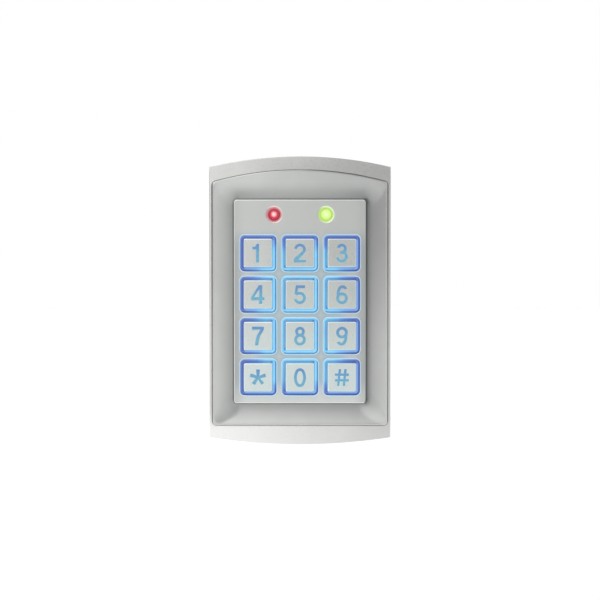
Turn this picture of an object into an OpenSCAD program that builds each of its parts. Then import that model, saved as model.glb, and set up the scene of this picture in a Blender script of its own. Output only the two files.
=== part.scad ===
// Wall-mounted keypad access reader: a cast housing with bowed ends, a dished surround, a raised
// key plate with twelve back-lit push keys and two round lamps, two circuit boards behind it, a
// sealed rear cover and a steel wall bracket.
//
// Everything is modelled lying on its back: x to the right, y up the face, z out of the wall.
// stand_up() turns it upright, so the wall is the plane Y = 0, the keys face -Y and +Z is up.

/* [Housing] */
// Width of the housing
body_w = 76; // [74:0.5:96]
// Height of the housing at its middle
body_h = 121; // [118:0.5:150]
// How far the top edge bows up between its corners
top_rise = 4.5; // [2:0.5:8]
// How far the bottom edge bows down between its corners
bottom_rise = 3; // [2:0.5:6]
// Height of the housing's front band above the wall
housing_depth = 23; // [22:0.5:32]
// Thickness of the housing's side walls
side_wall = 2.5; // [2:0.1:3]
// Radius that the front rolls down with at the top and bottom edges
roll_r = 70; // [40:5:150]
// Length of face that rolls down at each end
roll_run = 11; // [8:0.5:13]
// Gap between the housing's rear rim and the wall
rim_gap = 0.4; // [0.2:0.1:0.8]

/* [Dished surround] */
// Width of housing that shows beside the surround
surround_side_band = 1.45; // [1.2:0.05:2]
// Height of housing that shows above the surround, at its middle
surround_top_band = 6; // [5:0.5:8]
// Height of housing that shows below the surround, at its middle
surround_bottom_band = 8.4; // [7:0.2:10]
// How far the surround's top edge bows up
surround_rise = 5; // [3:0.5:7]
// Corner radius of the surround
surround_r = 1.6; // [1:0.1:4]
// How far the surround's rim stands above the housing
surround_proud = 2; // [1:0.1:3]
// Depth of the dish below its rim
dish_depth = 3.2; // [2:0.1:3.6]
// Depth of the pocket that the surround sits in
surround_seat = 4.5; // [4:0.1:5]
// Gap round the surround
surround_gap = 0.3; // [0.1:0.05:0.35]

/* [Key plate] */
// Plate left and right of the outermost key openings
plate_side_margin = 2.6; // [2:0.1:4]
// Plate below the lowest key openings
plate_foot_margin = 3.4; // [2.5:0.1:5]
// Plate above the highest key openings, where the lamps are
plate_head_margin = 14.8; // [13:0.1:18]
// Height of the plate's centre above the housing's centre
plate_lift = -0.3; // [-2:0.1:1]
// Corner radius of the plate
plate_r = 1.2; // [0.8:0.1:2]
// Thickness of the plate's front
plate_t = 2; // [1.5:0.1:2.5]
// How far the plate stands above the surround's rim
plate_proud = 0.7; // [0.3:0.1:1.5]
// Thickness of the tray walls behind the plate
tray_wall = 1.5; // [1.2:0.1:2]
// Thickness of the clamping flange at the back of the tray
flange_t = 2; // [1.5:0.1:2.5]
// Gap between the tray and the openings that it passes through
tray_gap = 0.2; // [0.1:0.05:0.3]

/* [Keys] */
// Spacing of the key columns
key_pitch_x = 17.4; // [17:0.1:18.2]
// Spacing of the key rows
key_pitch_y = 17.2; // [17:0.1:18.2]
// Side of a square opening in the plate
key_opening = 15; // [14.8:0.1:15.4]
// Side of a metal key cap
key_size = 11.9; // [9.9:0.1:12]
// Corner radius of a key cap
key_r = 0.7; // [0.4:0.1:1.2]
// How far a key stands above the plate
key_proud = 1.6; // [1.3:0.1:2.5]
// Travel of a key
key_travel = 1; // [0.6:0.1:1.2]
// Gap between a key and the light guide round it
key_gap = 0.25; // [0.15:0.05:0.35]
// Gap between the light guide and the plate's opening
guide_gap = 0.2; // [0.1:0.05:0.3]
// Height of a numeral
numeral_h = 7.8; // [6:0.1:8.4]
// Width of a numeral's strokes
numeral_stroke = 1.2; // [0.8:0.1:1.3]

/* [Lamps] */
// Diameter of a lamp
lamp_d = 5; // [3:1:6]
// Spacing of the two lamps
lamp_pitch = 21.6; // [16:0.2:30]
// Height of the lamps above the plate's centre
lamp_lift = 36.2; // [35:0.1:38]
// Overall height of a lamp above its board
lamp_h = 8.6; // [8:0.1:9]

/* [Boards] */
// Thickness of both circuit boards
board_t = 1.6; // [1:0.2:2]
// Thickness of the light guide behind the plate
guide_t = 3; // [2.5:0.1:3.5]
// Thickness of the silicone mat
mat_t = 0.6; // [0.4:0.1:0.8]
// Length of the posts that the main board hangs from
post_h = 1.8; // [1.5:0.1:2.5]
// Half the width of the main board
main_board_half_w = 28; // [24:0.5:28]

/* [Rear] */
// Thickness of the rear cover
cover_t = 2; // [1.5:0.1:2.5]
// Thickness of the squeezed seal round the cover
seal_t = 1.1; // [0.8:0.1:1.5]
// Thickness of the wall bracket
bracket_t = 1.5; // [1.2:0.1:2]
// Room between the bracket and the cover for the heads of the wall screws
screw_head_room = 1.8; // [1.5:0.1:3]
// Spacing of the upper and lower wall screws
box_pitch_y = 83.3; // [60:0.1:84]
// Spacing of the left and right wall screws
box_pitch_x = 60.3; // [50:0.1:61]
// Diameter of the wall screw holes
wall_hole_d = 4.4; // [3.5:0.1:5]
// Diameter of the bore that the wiring passes through
cable_bore_d = 7; // [6.6:0.1:9]
// Height of the cable bore above the housing's centre
cable_lift = -14; // [-16:0.5:-14]

/* [Hidden] */
$fn = 64;
fine = 256;             // facets shown on the long edge curves
cut = 1;                // how far a cutting shape runs past what it cuts
loose = 0.2;            // clearance of a screw or post in a plain hole, on the radius
thread_gap = 0.05;      // clearance of a screw in its thread, on the radius
slip = 0.1;             // clearance between flat faces that aren't pressed together
glyph_height = 10;      // the numerals are drawn this tall, then scaled
numerals = ["1", "2", "3", "4", "5", "6", "7", "8", "9", "*", "0", "#"];
key_names = ["1", "2", "3", "4", "5", "6", "7", "8", "9", "star", "0", "hash"];

// Heights above the wall, front to back
z_front = housing_depth;
z_rim = z_front + surround_proud;
z_plate = z_rim + plate_proud;
z_cap = z_plate + key_proud;
z_dish = z_rim - dish_depth;
z_ledge_top = z_front - surround_seat;
ledge_t = 2;
z_ledge = z_ledge_top - ledge_t;
z_flange = z_ledge - flange_t;
z_plate_back = z_plate - plate_t;
z_guide_back = z_plate_back - guide_t;
guide_rim_sink = 0.25;
core_flange_t = 0.8;
z_core_flange_top = z_guide_back - slip;
z_core_flange = z_core_flange_top - core_flange_t;
z_mat_top = z_core_flange - key_travel - slip;
z_keypad_top = z_mat_top - mat_t;
z_keypad_back = z_keypad_top - board_t;
z_main_top = z_flange - post_h;
z_main_back = z_main_top - board_t;
z_cover_back = bracket_t + screw_head_room;
z_cover_front = z_cover_back + cover_t;
z_shoulder = z_cover_front + seal_t;

// Housing outline
top_arc_r = (pow(body_w / 2, 2) + pow(top_rise, 2)) / (2 * top_rise);
bottom_arc_r = (pow(body_w / 2, 2) + pow(bottom_rise, 2)) / (2 * bottom_rise);
top_arc_y = body_h / 2 - top_arc_r;
bottom_arc_y = bottom_arc_r - body_h / 2;
rear_wall = 1.3;        // the side wall is this thin where the cover fits in
inner_x = body_w / 2 - side_wall;

// Surround outline
surround_w = body_w - 2 * surround_side_band;
surround_top = body_h / 2 - surround_top_band;
surround_bottom = surround_bottom_band - body_h / 2;
surround_arc_r = (pow(surround_w / 2, 2) + pow(surround_rise, 2)) / (2 * surround_rise);
surround_arc_y = surround_top - surround_arc_r;
corner_steps = 6;        // points along a corner of the surround
side_steps = 10;         // points along a side of the surround
rim_start = 0.86;        // the rim's crest, as a share of the way out from the plate
rim_drop = 0.7;
dish_shares = [0, 0.15, 0.3, 0.45, 0.6, 0.75, 0.86, 0.93, 0.97, 1];

// Plate and keys
plate_w = 2 * key_pitch_x + key_opening + 2 * plate_side_margin;
plate_h = 3 * key_pitch_y + key_opening + plate_foot_margin + plate_head_margin;
tray_w = plate_w - 2 * tray_wall;
tray_h = plate_h - 2 * tray_wall;
key_field_y = plate_lift - plate_h / 2 + plate_foot_margin + key_opening / 2 + 1.5 * key_pitch_y;
opening_r = 1.9;
guide_outer = key_opening - 2 * guide_gap;
guide_inner = key_size + 2 * key_gap;
cap_wall = 0.8;
cap_top_t = 1;
cap_h = 4.8;
core_size = key_size - 2 * cap_wall;
core_flange_size = key_size + 1.9;
foot_r = 3.2;
foot_h = 0.6;
lamp_y = plate_lift + lamp_lift;
lamp_hole_r = lamp_d / 2 + 0.1;
lamp_sink_r = lamp_hole_r + 0.9;
lamp_sink_depth = 0.7;
lamp_flange = 0.4;       // how far a lamp's foot flange stands out
lamp_flange_t = 1;
emitter = [0.8, 1.6, 0.5];
emitter_window = [2, 2.4];
foot_gap = 0.4;
function key_place(i) =
    [((i % 3) - 1) * key_pitch_x, key_field_y + (1.5 - floor(i / 3)) * key_pitch_y];
key_places = [for (i = [0 : 11]) key_place(i)];
lamp_places = [for (s = [-1, 1]) [s * lamp_pitch / 2, lamp_y]];
backlight_places = [for (sx = [-1, 1], row = [-1.5 : 1.5])
    [sx * key_pitch_x / 2, key_field_y + row * key_pitch_y]];

// Light guide and mat sheet, from the tray's foot to just above the top row
sheet_gap = 0.3;
sheet_w = tray_w - 2 * sheet_gap;
sheet_bottom = plate_lift - tray_h / 2 + sheet_gap;
sheet_top = key_field_y + 2 * key_pitch_y + 0.6;

// Blind holes and the screws in them
bite = 0.5;              // how far a post or boss runs into what carries it
blind_wall = 1;          // metal left beyond a blind hole
tip_gap = 0.6;           // room beyond a screw's tip
cover_grip = 6;          // thread of a cover screw beyond the cover

// Screws: shank radius, head radius, head height
clamp_screw = [1.5, 2.8, 1.6];
board_screw = [1.25, 2.3, 1.3];
keypad_screw = [0.95, 1.8, 1.1];
cover_screw = [1.5, 2.8, 1.3];
lock_screw = [1.5, 2.8, 1.5];
clamp_x = (plate_w / 2 + inner_x) / 2;
clamp_side_y = 30;
clamp_end_y = plate_h / 2 + 4.2;
clamp_places = concat(
    [for (sx = [-1, 1], sy = [-1, 1]) [sx * clamp_x, plate_lift + sy * clamp_side_y]],
    [for (sy = [-1, 1]) [0, plate_lift + sy * clamp_end_y]]);
flange_half_w = inner_x - 1.5;
flange_side_half_h = plate_h / 2 - 2;
flange_arm_half_w = plate_w / 2;
flange_half_h = plate_h / 2 + 7.4;
post_r = 2.6;
post_x = 22;
post_y = plate_h / 2 + 2.9;
post_places = [for (sx = [-1, 1], sy = [-1, 1]) [sx * post_x, plate_lift + sy * post_y]];
boss_r = 1.85;
keypad_screw_places = concat(
    [for (sx = [-1, 1]) [sx * 22, lamp_y]],
    [for (sx = [-1, 1], row = [-1, 1]) [sx * key_pitch_x / 2, key_field_y + row * key_pitch_y]]);

// Cover bosses stand in the corners, the same distance from the side and from the bowed end
corner_inset = 6.5;
corner_boss_r = 3;
corner_x = body_w / 2 - corner_inset;
corner_top_y = top_arc_y + sqrt(pow(top_arc_r, 2) - pow(corner_x, 2)) - corner_inset;
corner_bottom_y = bottom_arc_y - sqrt(pow(bottom_arc_r, 2) - pow(corner_x, 2)) + corner_inset;
corner_places = [for (sx = [-1, 1], y = [corner_top_y, corner_bottom_y]) [sx * corner_x, y]];

// Pocket in the foot of the housing, outside the seal, where the bracket's lip is locked
pocket_half_w = 9;
pocket_depth = 6.2;
pocket_wall = 1.5;
skin = 0.6;              // depth that the pocket's block keeps behind the housing's outside
pocket_foot = side_wall - body_h / 2;
pocket_roof = 10.5;
lock_z = 6.5;
lip_half_w = 6;
lip_y = pocket_foot + 1.4;
lip_h = 9.5;

// Bracket
bracket_inset = rear_wall + 0.7;
bracket_gap = 0.3;       // room between the bracket and the pocket's block
hook_x = 16;
hook_half_w = 4.5;
hook_reach = 3;
hook_y = 47;
hook_clear = 0.3;
cable_window = [24, 22];
box_hole_places = concat(
    [for (s = [-1, 1]) [0, s * box_pitch_y / 2]],
    [for (s = [-1, 1]) [s * box_pitch_x / 2, 0]]);

// Cable grommet
grommet_r = cable_bore_d / 2 + 2;
grommet_lip_r = grommet_r + 1.8;
grommet_lip_t = 0.6;

// Rear cover, and the light sensor that looks out through a hole in it
cover_gap = 0.2;
tamper_place = [-20, -28];
tamper_r = 2.5;

// ---------------------------------------------------------------- helpers

module stand_up() {
    rotate([90, 0, 0]) children();
}

module at(places) {
    for (p = places) translate([p[0], p[1], 0]) children();
}

// A flat shape raised from height a to height b
module between(a, b) {
    translate([0, 0, a]) linear_extrude(b - a) children();
}

module rounded_rect(w, h, r) {
    square([w, h - 2 * r], center = true);
    square([w - 2 * r, h], center = true);
    for (sx = [-1, 1], sy = [-1, 1]) translate([sx * (w / 2 - r), sy * (h / 2 - r)]) circle(r = r);
}

// A screw whose head is below height z and whose shank goes up from it
module pan_screw(size, z, length) {
    translate([0, 0, z - size[2]]) cylinder(r = size[1], h = size[2]);
    translate([0, 0, z]) cylinder(r = size[0], h = length);
}

module cross_recess(size, z, depth) {
    for (turn = [0, 90]) rotate([0, 0, turn]) translate([0, 0, z - size[2] + depth / 2])
        cube([1.5 * size[1], 0.35 * size[0], depth + 0.01], center = true);
}

// ---------------------------------------------------------------- housing

// Outline with bowed ends, drawn inset by a distance
module body_outline(inset) {
    intersection() {
        square([body_w - 2 * inset, body_h - 2 * inset], center = true);
        translate([0, top_arc_y]) circle(r = top_arc_r - inset, $fn = fine);
        translate([0, bottom_arc_y]) circle(r = bottom_arc_r - inset, $fn = fine);
    }
}

// Side profile of the housing: flat front that rolls down at both ends
module side_profile() {
    flat_half = body_h / 2 - roll_run;
    intersection() {
        translate([-body_h / 2, rim_gap]) square([body_h, housing_depth - rim_gap]);
        union() {
            translate([-flat_half, 0]) square([2 * flat_half, housing_depth]);
            for (s = [-1, 1]) translate([s * flat_half, z_front - roll_r]) circle(r = roll_r, $fn = fine);
        }
    }
}

function fillet_y(r, grow) = surround_arc_y
    + sqrt(pow(surround_arc_r + grow - r, 2) - pow(surround_w / 2 + grow - r, 2));

// Outline of the surround, grown by a distance: straight foot, bowed head, rounded corners
module surround_outline(grow) {
    r = surround_r + grow;
    half = surround_w / 2 + grow;
    x = half - r;
    y = fillet_y(r, grow);
    foot = surround_bottom - grow;
    lean = atan2(y - surround_arc_y, x);
    difference() {
        intersection() {
            translate([-half, foot]) square([2 * half, surround_top + grow - foot]);
            translate([0, surround_arc_y]) circle(r = surround_arc_r + grow, $fn = fine);
        }
        for (s = [0, 1]) mirror([s, 0]) {
            polygon([[x, y], [half + cut, y], [half + cut, surround_top + cut],
                [x + (r + cut) * cos(lean), y + (r + cut) * sin(lean)]]);
            translate([x, foot - cut]) square([r + cut, r + cut]);
        }
    }
    for (s = [-1, 1]) {
        translate([s * x, y]) circle(r = r);
        translate([s * x, foot + r]) circle(r = r);
    }
}

module pocket_block(grow) {
    translate([-pocket_half_w - pocket_wall - grow, -body_h / 2 - cut])
        square([2 * (pocket_half_w + pocket_wall + grow),
            pocket_foot + pocket_depth + pocket_wall + grow + body_h / 2 + cut]);
}

// Area inside the housing's wall at a given inset, without the pocket's block
module sealed_area(inset, block_grow) {
    difference() {
        body_outline(inset);
        pocket_block(block_grow);
    }
}

module front_housing() {
    shoulder = side_wall - rear_wall;
    stand_up() color("#bdbfbd") difference() {
        union() {
            difference() {
                intersection() {
                    between(0, z_front + cut) body_outline(0);
                    rotate([90, 0, 90]) linear_extrude(body_w + 2 * cut, center = true) side_profile();
                }
                between(z_ledge_top, z_front + cut) surround_outline(surround_gap);
                between(rim_gap - cut, z_ledge) body_outline(side_wall);
                between(rim_gap - cut, z_shoulder) body_outline(rear_wall);
                between(z_ledge - cut, z_front + cut) translate([0, plate_lift])
                    rounded_rect(plate_w + 2 * tray_gap, plate_h + 2 * tray_gap, plate_r + tray_gap);
            }
            at(corner_places) translate([0, 0, z_cover_front])
                cylinder(r = corner_boss_r, h = z_ledge - z_cover_front + bite);
            intersection() {
                union() {
                    between(bracket_t + bracket_gap, pocket_roof + pocket_wall) pocket_block(0);
                    between(z_shoulder, pocket_roof + pocket_wall) pocket_block(shoulder);
                }
                between(0, z_front) body_outline(skin);
            }
        }
        between(0, pocket_roof) intersection() {
            translate([-pocket_half_w, pocket_foot - cut])
                square([2 * pocket_half_w, pocket_depth + cut]);
            body_outline(side_wall);
        }
        at(clamp_places) between(z_ledge - cut, z_ledge_top + cut) circle(r = clamp_screw[0] + loose);
        at(corner_places) between(z_cover_front - cut, z_ledge - blind_wall)
            circle(r = cover_screw[0] + thread_gap);
        translate([0, -body_h / 2, lock_z]) rotate([-90, 0, 0]) {
            translate([0, 0, -cut]) cylinder(r = lock_screw[0] + loose, h = side_wall + 2 * cut);
            translate([0, 0, -cut]) cylinder(r = lock_screw[1] + loose, h = lock_screw[2] + cut);
        }
    }
}

// ---------------------------------------------------------------- dished surround

function arc_points(cx, cy, r, from, to, steps) =
    [for (k = [0 : steps]) let (a = from + (to - from) * k / steps) [cx + r * cos(a), cy + r * sin(a)]];
function without_ends(points) = [for (k = [1 : len(points) - 2]) points[k]];
function line_points(p, q, steps) = [for (k = [1 : steps - 1]) p + (q - p) * k / steps];

// Outline of the surround as points, counter-clockwise from the right-hand end of its head
function surround_points() =
    let (r = surround_r, half = surround_w / 2, x = half - r, y = fillet_y(r, 0),
         lean = atan2(y - surround_arc_y, x), foot = surround_bottom + r)
    concat(
        arc_points(x, y, r, 0, lean, corner_steps),
        [for (k = [1 : side_steps - 1]) let (a = lean + (180 - 2 * lean) * k / side_steps)
            [surround_arc_r * cos(a), surround_arc_y + surround_arc_r * sin(a)]],
        arc_points(-x, y, r, 180 - lean, 180, corner_steps),
        line_points([-half, y], [-half, foot], side_steps),
        arc_points(-x, foot, r, 180, 270, corner_steps),
        line_points([-x, foot - r], [x, foot - r], side_steps),
        arc_points(x, foot, r, 270, 360, corner_steps),
        line_points([half, foot], [half, y], side_steps));

// Opening for the key plate, with the same number of points in the same order
function plate_hole_points() =
    let (r = plate_r + tray_gap, x = plate_w / 2 + tray_gap - r, half_h = plate_h / 2 + tray_gap,
         top = plate_lift + half_h - r, foot = plate_lift - half_h + r)
    concat(
        arc_points(x, top, r, 0, 90, corner_steps),
        line_points([x, top + r], [-x, top + r], side_steps),
        arc_points(-x, top, r, 90, 180, corner_steps),
        line_points([-x - r, top], [-x - r, foot], side_steps),
        arc_points(-x, foot, r, 180, 270, corner_steps),
        line_points([-x, foot - r], [x, foot - r], side_steps),
        arc_points(x, foot, r, 270, 360, corner_steps),
        line_points([x + r, foot], [x + r, top], side_steps));

// Height of the dish at a share t of the way out from the plate: a hollow slope, then a soft rim
function dish_z(t) = t <= rim_start
    ? z_dish + dish_depth * pow(t / rim_start, 1.5)
    : z_rim - rim_drop * pow((t - rim_start) / (1 - rim_start), 2.5);

module bezel_frame() {
    outer = surround_points();
    inner = plate_hole_points();
    n = len(outer);
    rings = concat(
        [[for (p = inner) [p[0], p[1], z_ledge_top]]],
        [for (t = dish_shares) [for (i = [0 : n - 1])
            let (p = inner[i] + (outer[i] - inner[i]) * t) [p[0], p[1], dish_z(t)]]],
        [[for (p = outer) [p[0], p[1], z_ledge_top]]]);
    m = len(rings);
    points = [for (ring = rings) for (p = ring) p];
    faces = [for (j = [0 : m - 1], i = [0 : n - 1])
        let (k = (i + 1) % n, next = (j + 1) % m)
        for (half = [0, 1]) half == 0
            ? [j * n + i, j * n + k, next * n + k]
            : [j * n + i, next * n + k, next * n + i]];
    stand_up() color("#aeb0af") difference() {
        polyhedron(points = points, faces = faces);
        at(clamp_places) between(z_ledge_top - cut, z_dish - blind_wall)
            circle(r = clamp_screw[0] + thread_gap);
    }
}

// ---------------------------------------------------------------- key plate and its stack

module face_plate() {
    stand_up() color("#c6c8c6") difference() {
        union() {
            difference() {
                between(z_flange, z_plate) translate([0, plate_lift]) rounded_rect(plate_w, plate_h, plate_r);
                between(z_flange - cut, z_plate_back) translate([0, plate_lift])
                    square([tray_w, tray_h], center = true);
            }
            between(z_flange, z_ledge) translate([0, plate_lift]) difference() {
                union() {
                    square([2 * flange_half_w, 2 * flange_side_half_h], center = true);
                    square([2 * flange_arm_half_w, 2 * flange_half_h], center = true);
                }
                square([tray_w, tray_h], center = true);
            }
            at(post_places) between(z_main_top, z_flange + bite) circle(r = post_r);
            at(keypad_screw_places) between(z_keypad_top, z_plate_back + bite) circle(r = boss_r);
        }
        at(key_places) between(z_plate_back - cut, z_plate + cut)
            rounded_rect(key_opening, key_opening, opening_r);
        at(lamp_places) {
            between(z_plate_back - cut, z_plate + cut) circle(r = lamp_hole_r);
            translate([0, 0, z_plate - lamp_sink_depth])
                cylinder(r1 = lamp_hole_r, r2 = lamp_sink_r, h = lamp_sink_depth);
        }
        at(clamp_places) between(z_flange - cut, z_ledge + cut) circle(r = clamp_screw[0] + loose);
        at(post_places) between(z_main_top - cut, z_ledge - blind_wall)
            circle(r = board_screw[0] + thread_gap);
        at(keypad_screw_places) between(z_keypad_top - cut, z_plate - blind_wall)
            circle(r = keypad_screw[0] + thread_gap);
    }
}

// Sheet that fills the tray behind the key field
module key_sheet() {
    translate([-sheet_w / 2, sheet_bottom]) square([sheet_w, sheet_top - sheet_bottom]);
}

module light_guide() {
    stand_up() color([0.45, 0.78, 1, 0.7]) difference() {
        union() {
            between(z_guide_back, z_plate_back) key_sheet();
            at(key_places) between(z_guide_back, z_plate - guide_rim_sink)
                rounded_rect(guide_outer, guide_outer, opening_r - guide_gap);
        }
        at(key_places) between(z_guide_back - cut, z_plate + cut)
            rounded_rect(guide_inner, guide_inner, key_r + key_gap);
        at(keypad_screw_places) between(z_guide_back - cut, z_plate_back + cut)
            circle(r = boss_r + loose);
    }
}

module key_mat() {
    stand_up() color("#d8d8d2") difference() {
        between(z_keypad_top, z_mat_top) key_sheet();
        at(key_places) between(z_keypad_top - cut, z_mat_top + cut) circle(r = foot_r + foot_gap);
        at(keypad_screw_places) between(z_keypad_top - cut, z_mat_top + cut) circle(r = boss_r + loose);
        at(backlight_places) between(z_keypad_top - cut, z_mat_top + cut)
            square(emitter_window, center = true);
    }
}

module keypad_board() {
    stand_up() color("#1f6b3a") difference() {
        between(z_keypad_back, z_keypad_top) translate([0, plate_lift])
            square([tray_w - 2 * sheet_gap, tray_h - 2 * sheet_gap], center = true);
        at(keypad_screw_places) between(z_keypad_back - cut, z_keypad_top + cut)
            circle(r = keypad_screw[0] + loose);
    }
}

module backlight_leds() {
    stand_up() color("#fff3b0") at(backlight_places) between(z_keypad_top, z_keypad_top + emitter[2])
        square([emitter[0], emitter[1]], center = true);
}

// Round lamp with a foot flange, a straight barrel and a domed top
module lamp(place) {
    r = lamp_d / 2;
    translate([place[0], place[1], z_keypad_top]) {
        cylinder(r = r + lamp_flange, h = lamp_flange_t);
        cylinder(r = r, h = lamp_h - r);
        translate([0, 0, lamp_h - r]) sphere(r = r);
    }
}

module status_lamp_red() {
    stand_up() color("#e0305a") lamp(lamp_places[0]);
}

module status_lamp_green() {
    stand_up() color("#a8f070") lamp(lamp_places[1]);
}

// ---------------------------------------------------------------- keys

// Part of a ring of outer radius r and width w, between two angles
module ring_arc(r, w, from, to) {
    intersection() {
        difference() {
            circle(r = r);
            circle(r = r - w);
        }
        polygon(concat([[0, 0]], arc_points(0, 0, 2 * r, from, to, 6)));
    }
}

module ring(r, w) {
    difference() {
        circle(r = r);
        circle(r = r - w);
    }
}

// Upright oval of four arcs, half_w by half_h with ends of radius end_r, grown by a distance
module oval(half_w, half_h, end_r, grow) {
    rise = half_h - end_r;
    side_r = (pow(end_r, 2) - pow(half_w, 2) - pow(rise, 2)) / (2 * (end_r - half_w));
    meet = (side_r + grow) * rise / (side_r - end_r);
    for (s = [-1, 1]) translate([0, s * rise]) circle(r = end_r + grow);
    intersection() {
        translate([half_w - side_r, 0]) circle(r = side_r + grow);
        translate([side_r - half_w, 0]) circle(r = side_r + grow);
        square([3 * half_w, 2 * meet], center = true);
    }
}

// Numerals and signs, drawn glyph_height tall about the key's centre with strokes w wide
module glyph(name, w) {
    h = glyph_height / 2;
    if (name == "1") translate([-0.9, 0])
        polygon([[w, h], [0.25 * w, h], [-0.1, h - 1], [-0.8, h - 1.6], [-2, h - 1.9],
            [-2, h - 1.9 - 0.75 * w], [0, h - 1.9 - 0.75 * w], [0, -h], [w, -h]]);
    if (name == "2") {
        r = 3.1;
        translate([0, h - r]) ring_arc(r, w, -36, 172);
        polygon([[(r - w) * cos(-36), h - r + (r - w) * sin(-36)], [r * cos(-36), h - r + r * sin(-36)],
            [-0.8, w - h], [-3.3, w - h], [-3.1, w - h + 0.6]]);
        translate([-3.3, -h]) square([6.5, w]);
    }
    if (name == "3") {
        upper = 2.65;
        lower = 3.15;
        translate([-0.1, h - upper]) ring_arc(upper, w, -82, 168);
        translate([-0.1, lower - h]) ring_arc(lower, w, -170, 82);
        translate([-1.1, lower * 2 - h - 1.2 * w]) square([1.6, w]);
    }
    if (name == "4") {
        bar = -2.9;
        stem = 0.7;
        difference() {
            polygon([[stem + w, h], [stem + w, -h], [stem, -h], [stem, bar], [-3.5, bar],
                [-3.5, bar + w], [stem - 0.2, h]]);
            polygon([[stem, h - 2.3], [stem, bar + w], [-2.1, bar + w]]);
        }
        translate([stem, bar]) square([w + 1.3, w]);
    }
    if (name == "5") {
        r = 3.25;
        translate([-2.2, h - w]) square([4.9, w]);
        translate([-0.1, r - h]) ring_arc(r, w, -165, 138);
        polygon([[-2.2, h], [-0.85, h], [-1.35, 0.9], [-1.5, 0.1], [-2.9, 0.1]]);
    }
    if (name == "6") {
        bowl = 3.1;
        head = 2.6;
        spine = 6.5;
        meet = 150;
        head_at = [0.3, h - head];
        spine_at = head_at + (head - spine) * [cos(meet), sin(meet)];
        steps = 8;
        translate([0, bowl - h]) ring(bowl, w);
        polygon(concat(
            arc_points(head_at[0], head_at[1], head, 20, meet, steps),
            arc_points(spine_at[0], spine_at[1], spine, meet + 6, 192, steps),
            arc_points(spine_at[0], spine_at[1], spine - w, 192, meet + 6, steps),
            arc_points(head_at[0], head_at[1], head - w, meet, 20, steps)));
    }
    if (name == "7") {
        translate([-3.1, h - w]) square([6.2, w]);
        polygon([[3.1, h - w], [3.1 - 1.25 * w, h - w], [-0.6, 0.2], [-1.6, -h], [-1.6 + 1.1 * w, -h],
            [0.9, -0.2]]);
    }
    if (name == "8") {
        upper = 2.6;
        lower = 3.1;
        apart = 2 * h - upper - lower;
        waist = (pow(upper, 2) - pow(lower, 2) + pow(apart, 2)) / (2 * apart);
        upper_cut = acos(waist / upper);
        lower_cut = acos((apart - waist) / lower);
        steps = 18;
        difference() {
            polygon(concat(
                arc_points(0, h - upper, upper, upper_cut - 90, 270 - upper_cut, steps),
                without_ends(arc_points(0, lower - h, lower, 90 + lower_cut, 450 - lower_cut, steps))));
            translate([0, h - upper]) circle(r = upper - w);
            translate([0, lower - h]) circle(r = lower - w);
        }
    }
    if (name == "9") rotate([0, 0, 180]) glyph("6", w);
    if (name == "0") difference() {
        oval(3.2, h, 2.6, 0);
        oval(3.2, h, 2.6, -w);
    }
    if (name == "*") for (k = [0 : 4]) rotate([0, 0, 72 * k])
        polygon([[-0.45 * w, -0.2], [0.45 * w, -0.2], [0.6 * w, 0.86 * h], [-0.6 * w, 0.86 * h]]);
    if (name == "#") {
        for (s = [-1, 1]) {
            translate([s * 1.5, 0]) multmatrix([[1, 0.1, 0, 0], [0, 1, 0, 0]])
                square([0.8 * w, 0.9 * glyph_height], center = true);
            translate([0, s * 1.5]) square([7.4, 0.8 * w], center = true);
        }
    }
}

// Numeral or sign through a cap's face, from its underside up to height top. A sign with a closed
// loop keeps a thin upright web under it, which carries the loop's middle.
module key_sign(i, top) {
    name = numerals[i];
    looped = len(search(name, "04689#")) > 0;
    k = numeral_h / glyph_height;
    web = 0.6;
    foot = z_cap - cap_top_t;
    difference() {
        between(foot, top) scale([k, k]) glyph(name, numeral_stroke / k);
        if (looped) translate([-web / 2, -numeral_h, foot - cut])
            cube([web, 2 * numeral_h, cap_top_t / 2 + cut]);
    }
}

// Metal cup with the numeral cut through its face
module key_cap(i) {
    stand_up() color("#c9cbc9") translate(key_place(i)) difference() {
        between(z_cap - cap_h, z_cap) rounded_rect(key_size, key_size, key_r);
        between(z_cap - cap_h - cut, z_cap - cap_top_t) square([core_size, core_size], center = true);
        key_sign(i, z_cap + cut);
    }
}

// Translucent body that fills the cap and its numeral, with a flange that stops under the guide
module key_core(i) {
    sign_sink = 0.3;
    stand_up() color([0.6, 0.85, 1]) translate(key_place(i)) {
        translate([0, 0, z_core_flange - foot_h]) cylinder(r = foot_r, h = foot_h);
        between(z_core_flange, z_core_flange_top)
            rounded_rect(core_flange_size, core_flange_size, key_r + key_gap);
        between(z_core_flange_top, z_cap - cap_top_t) square([core_size, core_size], center = true);
        key_sign(i, z_cap - sign_sink);
    }
}

// ---------------------------------------------------------------- main board and what is on it

module main_board() {
    half_h = post_y + 2;
    stand_up() color("#1b5e8a") difference() {
        between(z_main_back, z_main_top) translate([0, plate_lift])
            square([2 * main_board_half_w, 2 * half_h], center = true);
        at(post_places) between(z_main_back - cut, z_main_top + cut) circle(r = board_screw[0] + loose);
    }
}

// Wound antenna for reading cards and fobs, between the two boards
module reader_coil() {
    coil = [44, 68];
    coil_r = 6;
    winding = 3;
    stand_up() color("#b5651d") between(z_main_top, z_flange) difference() {
        rounded_rect(coil[0], coil[1], coil_r);
        rounded_rect(coil[0] - 2 * winding, coil[1] - 2 * winding, coil_r - winding);
    }
}

module board_link() {
    place = [14, -20];
    size = [2.5, 15];
    stand_up() color("#26282b") translate(place) between(z_main_top, z_keypad_back)
        square(size, center = true);
}

// A block on the back of the main board
module rear_block(place, size) {
    stand_up() between(z_main_back - size[2], z_main_back) translate(place)
        square([size[0], size[1]], center = true);
}

module relay() {
    color("#e8e8e4") rear_block([-15, 26], [15, 7.5, 5.2]);
}

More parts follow.
